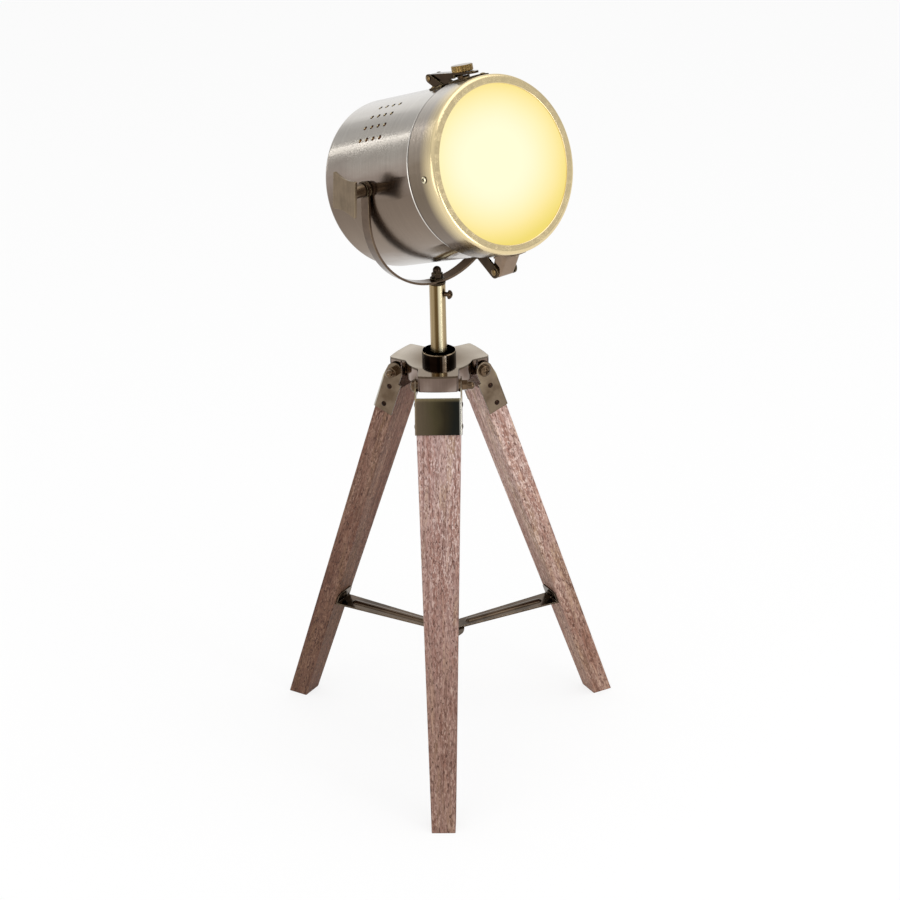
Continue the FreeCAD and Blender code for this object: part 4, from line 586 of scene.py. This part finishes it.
finishes = {name: metal(name, **look) for name, look in METALS.items()}
finishes.update({
    "hub_metal": hub_metal("hub_metal"),
    # The collar's bright band is a painted highlight and its lighter cap a painted reflection.
    "collar_metal": tube_metal("collar_metal", srgb(104, 84, 60), srgb(24, 16, 11), turns=2.2, tone_shift=0.56,
                               roughness=0.14, bands=[(-1.95, 0.15, srgb(226, 212, 196))],
                               cap=COLLAR_TOP),
    # The pole's dark band is a painted dark reflection and its bright band a painted highlight.
    "pole_metal": tube_metal("pole_metal", srgb(182, 161, 126), srgb(148, 128, 92), turns=1.4, tone_shift=0.40,
                             roughness=0.24, bands=[(-2.48, 0.42, srgb(92, 72, 42)),
                                                    (-1.96, 0.32, srgb(230, 220, 186))]),
    "drum_metal": turned_metal("drum_metal", DRUM_PAINTED_LIGHT,
                               # The drum's pale front colour is a painted highlight on the rim's bead.
                               (DRUM_FRONT - 2.0 * MM, DRUM_FRONT - 1.5 * MM, srgb(226, 220, 212)),
                               (DRUM_LINING, DRUM_BACK + 6.0 * MM, BEZEL_FRONT)),
    "bezel_metal": turned_metal("bezel_metal", BEZEL_PAINTED_LIGHT,
                                (BEZEL_FRONT - 17.0 * MM, BEZEL_FRONT - 1.0 * MM, srgb(234, 214, 168)),
                                (BEZEL_LINING, DRUM_FRONT, BEZEL_FRONT - BEZEL_ROUND), seam=BEZEL_BACK,
                                roughness=0.24),
    "door_screw_metal": dished_screws("door_screw_metal", srgb(232, 222, 190), srgb(70, 58, 44)),
    "opal_glass": opal_lens("opal_glass"),
    "bulb_glass": glowing_bulb("bulb_glass"),
    "bakelite": moulded("bakelite", srgb(34, 30, 28), 0.28),
    "gland_plastic": moulded("gland_plastic", srgb(30, 29, 28), 0.5),
})
slots = {part["node"]: part["material_slot"] for part in frame["record"]["subparts"]}
FIGURE_STEP = 0.37
# Per leg shares of each colour channel: partly the boards' own difference, partly painted light and shade,
# the right leg lighter and the rear one darker and browner.
LEG_TONE_AND_LIGHT = {
    "front_left": (1.16, 1.14, 1.14, 1),
    "right": (1.56, 1.58, 1.54, 1),
    "rear": (0.62, 0.50, 0.40, 1),
}


def dress(piece, material):
    """Give a piece one material and smooth its rounded faces."""
    piece.data.materials.clear()
    piece.data.materials.append(material)
    piece.data.shade_smooth()
    piece.data.set_sharp_from_angle(angle=SMOOTH_BELOW)


# A node's finish goes by its own name, or else by its slot. Each leg and its bracket get their own.
for name, node in nodes.items():
    material = finishes.get(name) or finishes.get(slots[name])
    if material:
        dress(node, material)
for name, turn in LEG_TURNS.items():
    place = leg_place(turn)
    wood = limed_wood("limed_wood_" + name, place, FIGURE_STEP * turn / 90, LEG_TONE_AND_LIGHT[name])
    dress(nodes["leg_" + name], wood)
    dress(nodes["leg_bracket_" + name], bracket_metal("bronze_plate_" + name, place))


# ---- studio -------------------------------------------------------------------------------------
FLOOR_HALF = 14.0
FLOOR_COLOUR = grey(0.9)
FLOOR_LIFT = 0.8
SKY = [(0.0, 0.953), (0.05, 0.80), (0.12, 0.60), (0.30, 0.60), (0.60, 0.80), (1.0, 1.0)]
WINDOW = Vector((0.63, 0.76, 0.16))
WINDOW_FULL = math.radians(20)
WINDOW_RIM = math.radians(36)
WINDOW_LEVEL = 1.05


def floor_finish():
    """White floor, lifted to plain white wherever it is looked at, so that only its shadows show."""
    material = bpy.data.materials.new("floor")
    material.use_nodes = True
    graph = Nodes(material.node_tree)
    graph.tree.nodes.clear()
    seen = graph.add("ShaderNodeLightPath").outputs
    looked_at = seen["Is Camera Ray"]
    for ray in ("Is Glossy Ray", "Is Transmission Ray"):
        looked_at = graph.maths("MAXIMUM", looked_at, seen[ray])
    diffuse = graph.wire(graph.add("ShaderNodeBsdfDiffuse"), Color=FLOOR_COLOUR)
    mixed = graph.wire(graph.add("ShaderNodeMixShader"), Fac=graph.maths("MULTIPLY", looked_at, FLOOR_LIFT))
    glow = graph.add("ShaderNodeEmission")
    graph.feed_all((diffuse.outputs[0], glow.outputs[0]), mixed.inputs[1:])
    graph.wire(graph.add("ShaderNodeOutputMaterial"), Surface=mixed.outputs[0])
    return material


def floor():
    """Large level floor under the feet."""
    mesh = bpy.data.meshes.new("floor")
    form = bmesh.new()
    bmesh.ops.create_grid(form, x_segments=1, y_segments=1, size=FLOOR_HALF)
    form.to_mesh(mesh)
    form.free()
    plane = bpy.data.objects.new("floor", mesh)
    bpy.context.scene.collection.objects.link(plane)
    mesh.materials.append(floor_finish())


def world():
    """Studio that is pale at eye level and overhead, dimmer between them, with a wide soft window."""
    surroundings = bpy.data.worlds.new("studio")
    surroundings.use_nodes = True
    graph = Nodes(surroundings.node_tree)
    direction = graph.add("ShaderNodeTexCoord").outputs["Generated"]
    split = graph.wire(graph.add("ShaderNodeSeparateXYZ"), Vector=direction)
    sky = graph.ramp(split.outputs["Z"], [(height, grey(level)) for height, level in SKY])
    toward = graph.vectors("DOT_PRODUCT", direction, WINDOW.normalized())["Value"]
    window = graph.wire(graph.add("ShaderNodeMapRange", interpolation_type="SMOOTHSTEP"), Value=toward,
                        From_Min=math.cos(WINDOW_RIM), From_Max=math.cos(WINDOW_FULL))
    lit = graph.mix(window.outputs["Result"], sky, grey(WINDOW_LEVEL))
    graph.wire(graph.tree.nodes["Background"], Color=lit)
    bpy.context.scene.world = surroundings


def soft_light(name, place, target, size, watts):
    """Rectangular area light aimed at a target."""
    light = bpy.data.lights.new(name, "AREA")
    light.shape = "RECTANGLE"
    light.size, light.size_y = size
    light.energy = watts
    lamp = bpy.data.objects.new(name, light)
    lamp.location = place
    lamp.rotation_euler = (Vector(target) - Vector(place)).to_track_quat("-Z", "Y").to_euler()
    lamp.visible_camera = False
    bpy.context.scene.collection.objects.link(lamp)


SENSOR_WIDTH = 36.0  # millimetres, and so is the next
FOCAL_LENGTH = 98.775
EYE_PLACE = (-1.25306, -1.53655, 1.18816)
EYE_BEARING = -129.4177  # degrees, and so are the next two
EYE_RISE = 24.4545
EYE_ROLL = -1.3112


def camera():
    """Camera of the photograph, fitted to the lamp's known forms."""
    eye = bpy.data.cameras.new("camera")
    eye.sensor_width = SENSOR_WIDTH
    eye.lens = FOCAL_LENGTH
    place = Matrix.Translation(EYE_PLACE)
    for angle, axis in ((EYE_BEARING + 90, "Z"), (90 - EYE_RISE, "X"), (EYE_ROLL, "Z")):
        place = place @ Matrix.Rotation(math.radians(angle), 4, axis)
    holder = bpy.data.objects.new("camera", eye)
    holder.matrix_world = place
    bpy.context.scene.collection.objects.link(holder)
    bpy.context.scene.camera = holder


floor()
world()
soft_light("top", place=(0.5, -0.7, 2.4), target=(0, 0, 0.3), size=(2.2, 2.2), watts=15)
soft_light("side", place=(-2.0, -0.35, 0.85), target=(0, 0, 0.5), size=(1.9, 1.2), watts=9.5)
soft_light("front", place=(0.3, -2.0, 0.55), target=(0, 0, 0.4), size=(0.45, 1.0), watts=8)
soft_light("strip", place=(-0.67, 2.33, 1.05), target=TILT_AXIS, size=(0.06, 1.5), watts=1.5)
camera()
bpy.context.scene.view_settings.view_transform = "Standard"
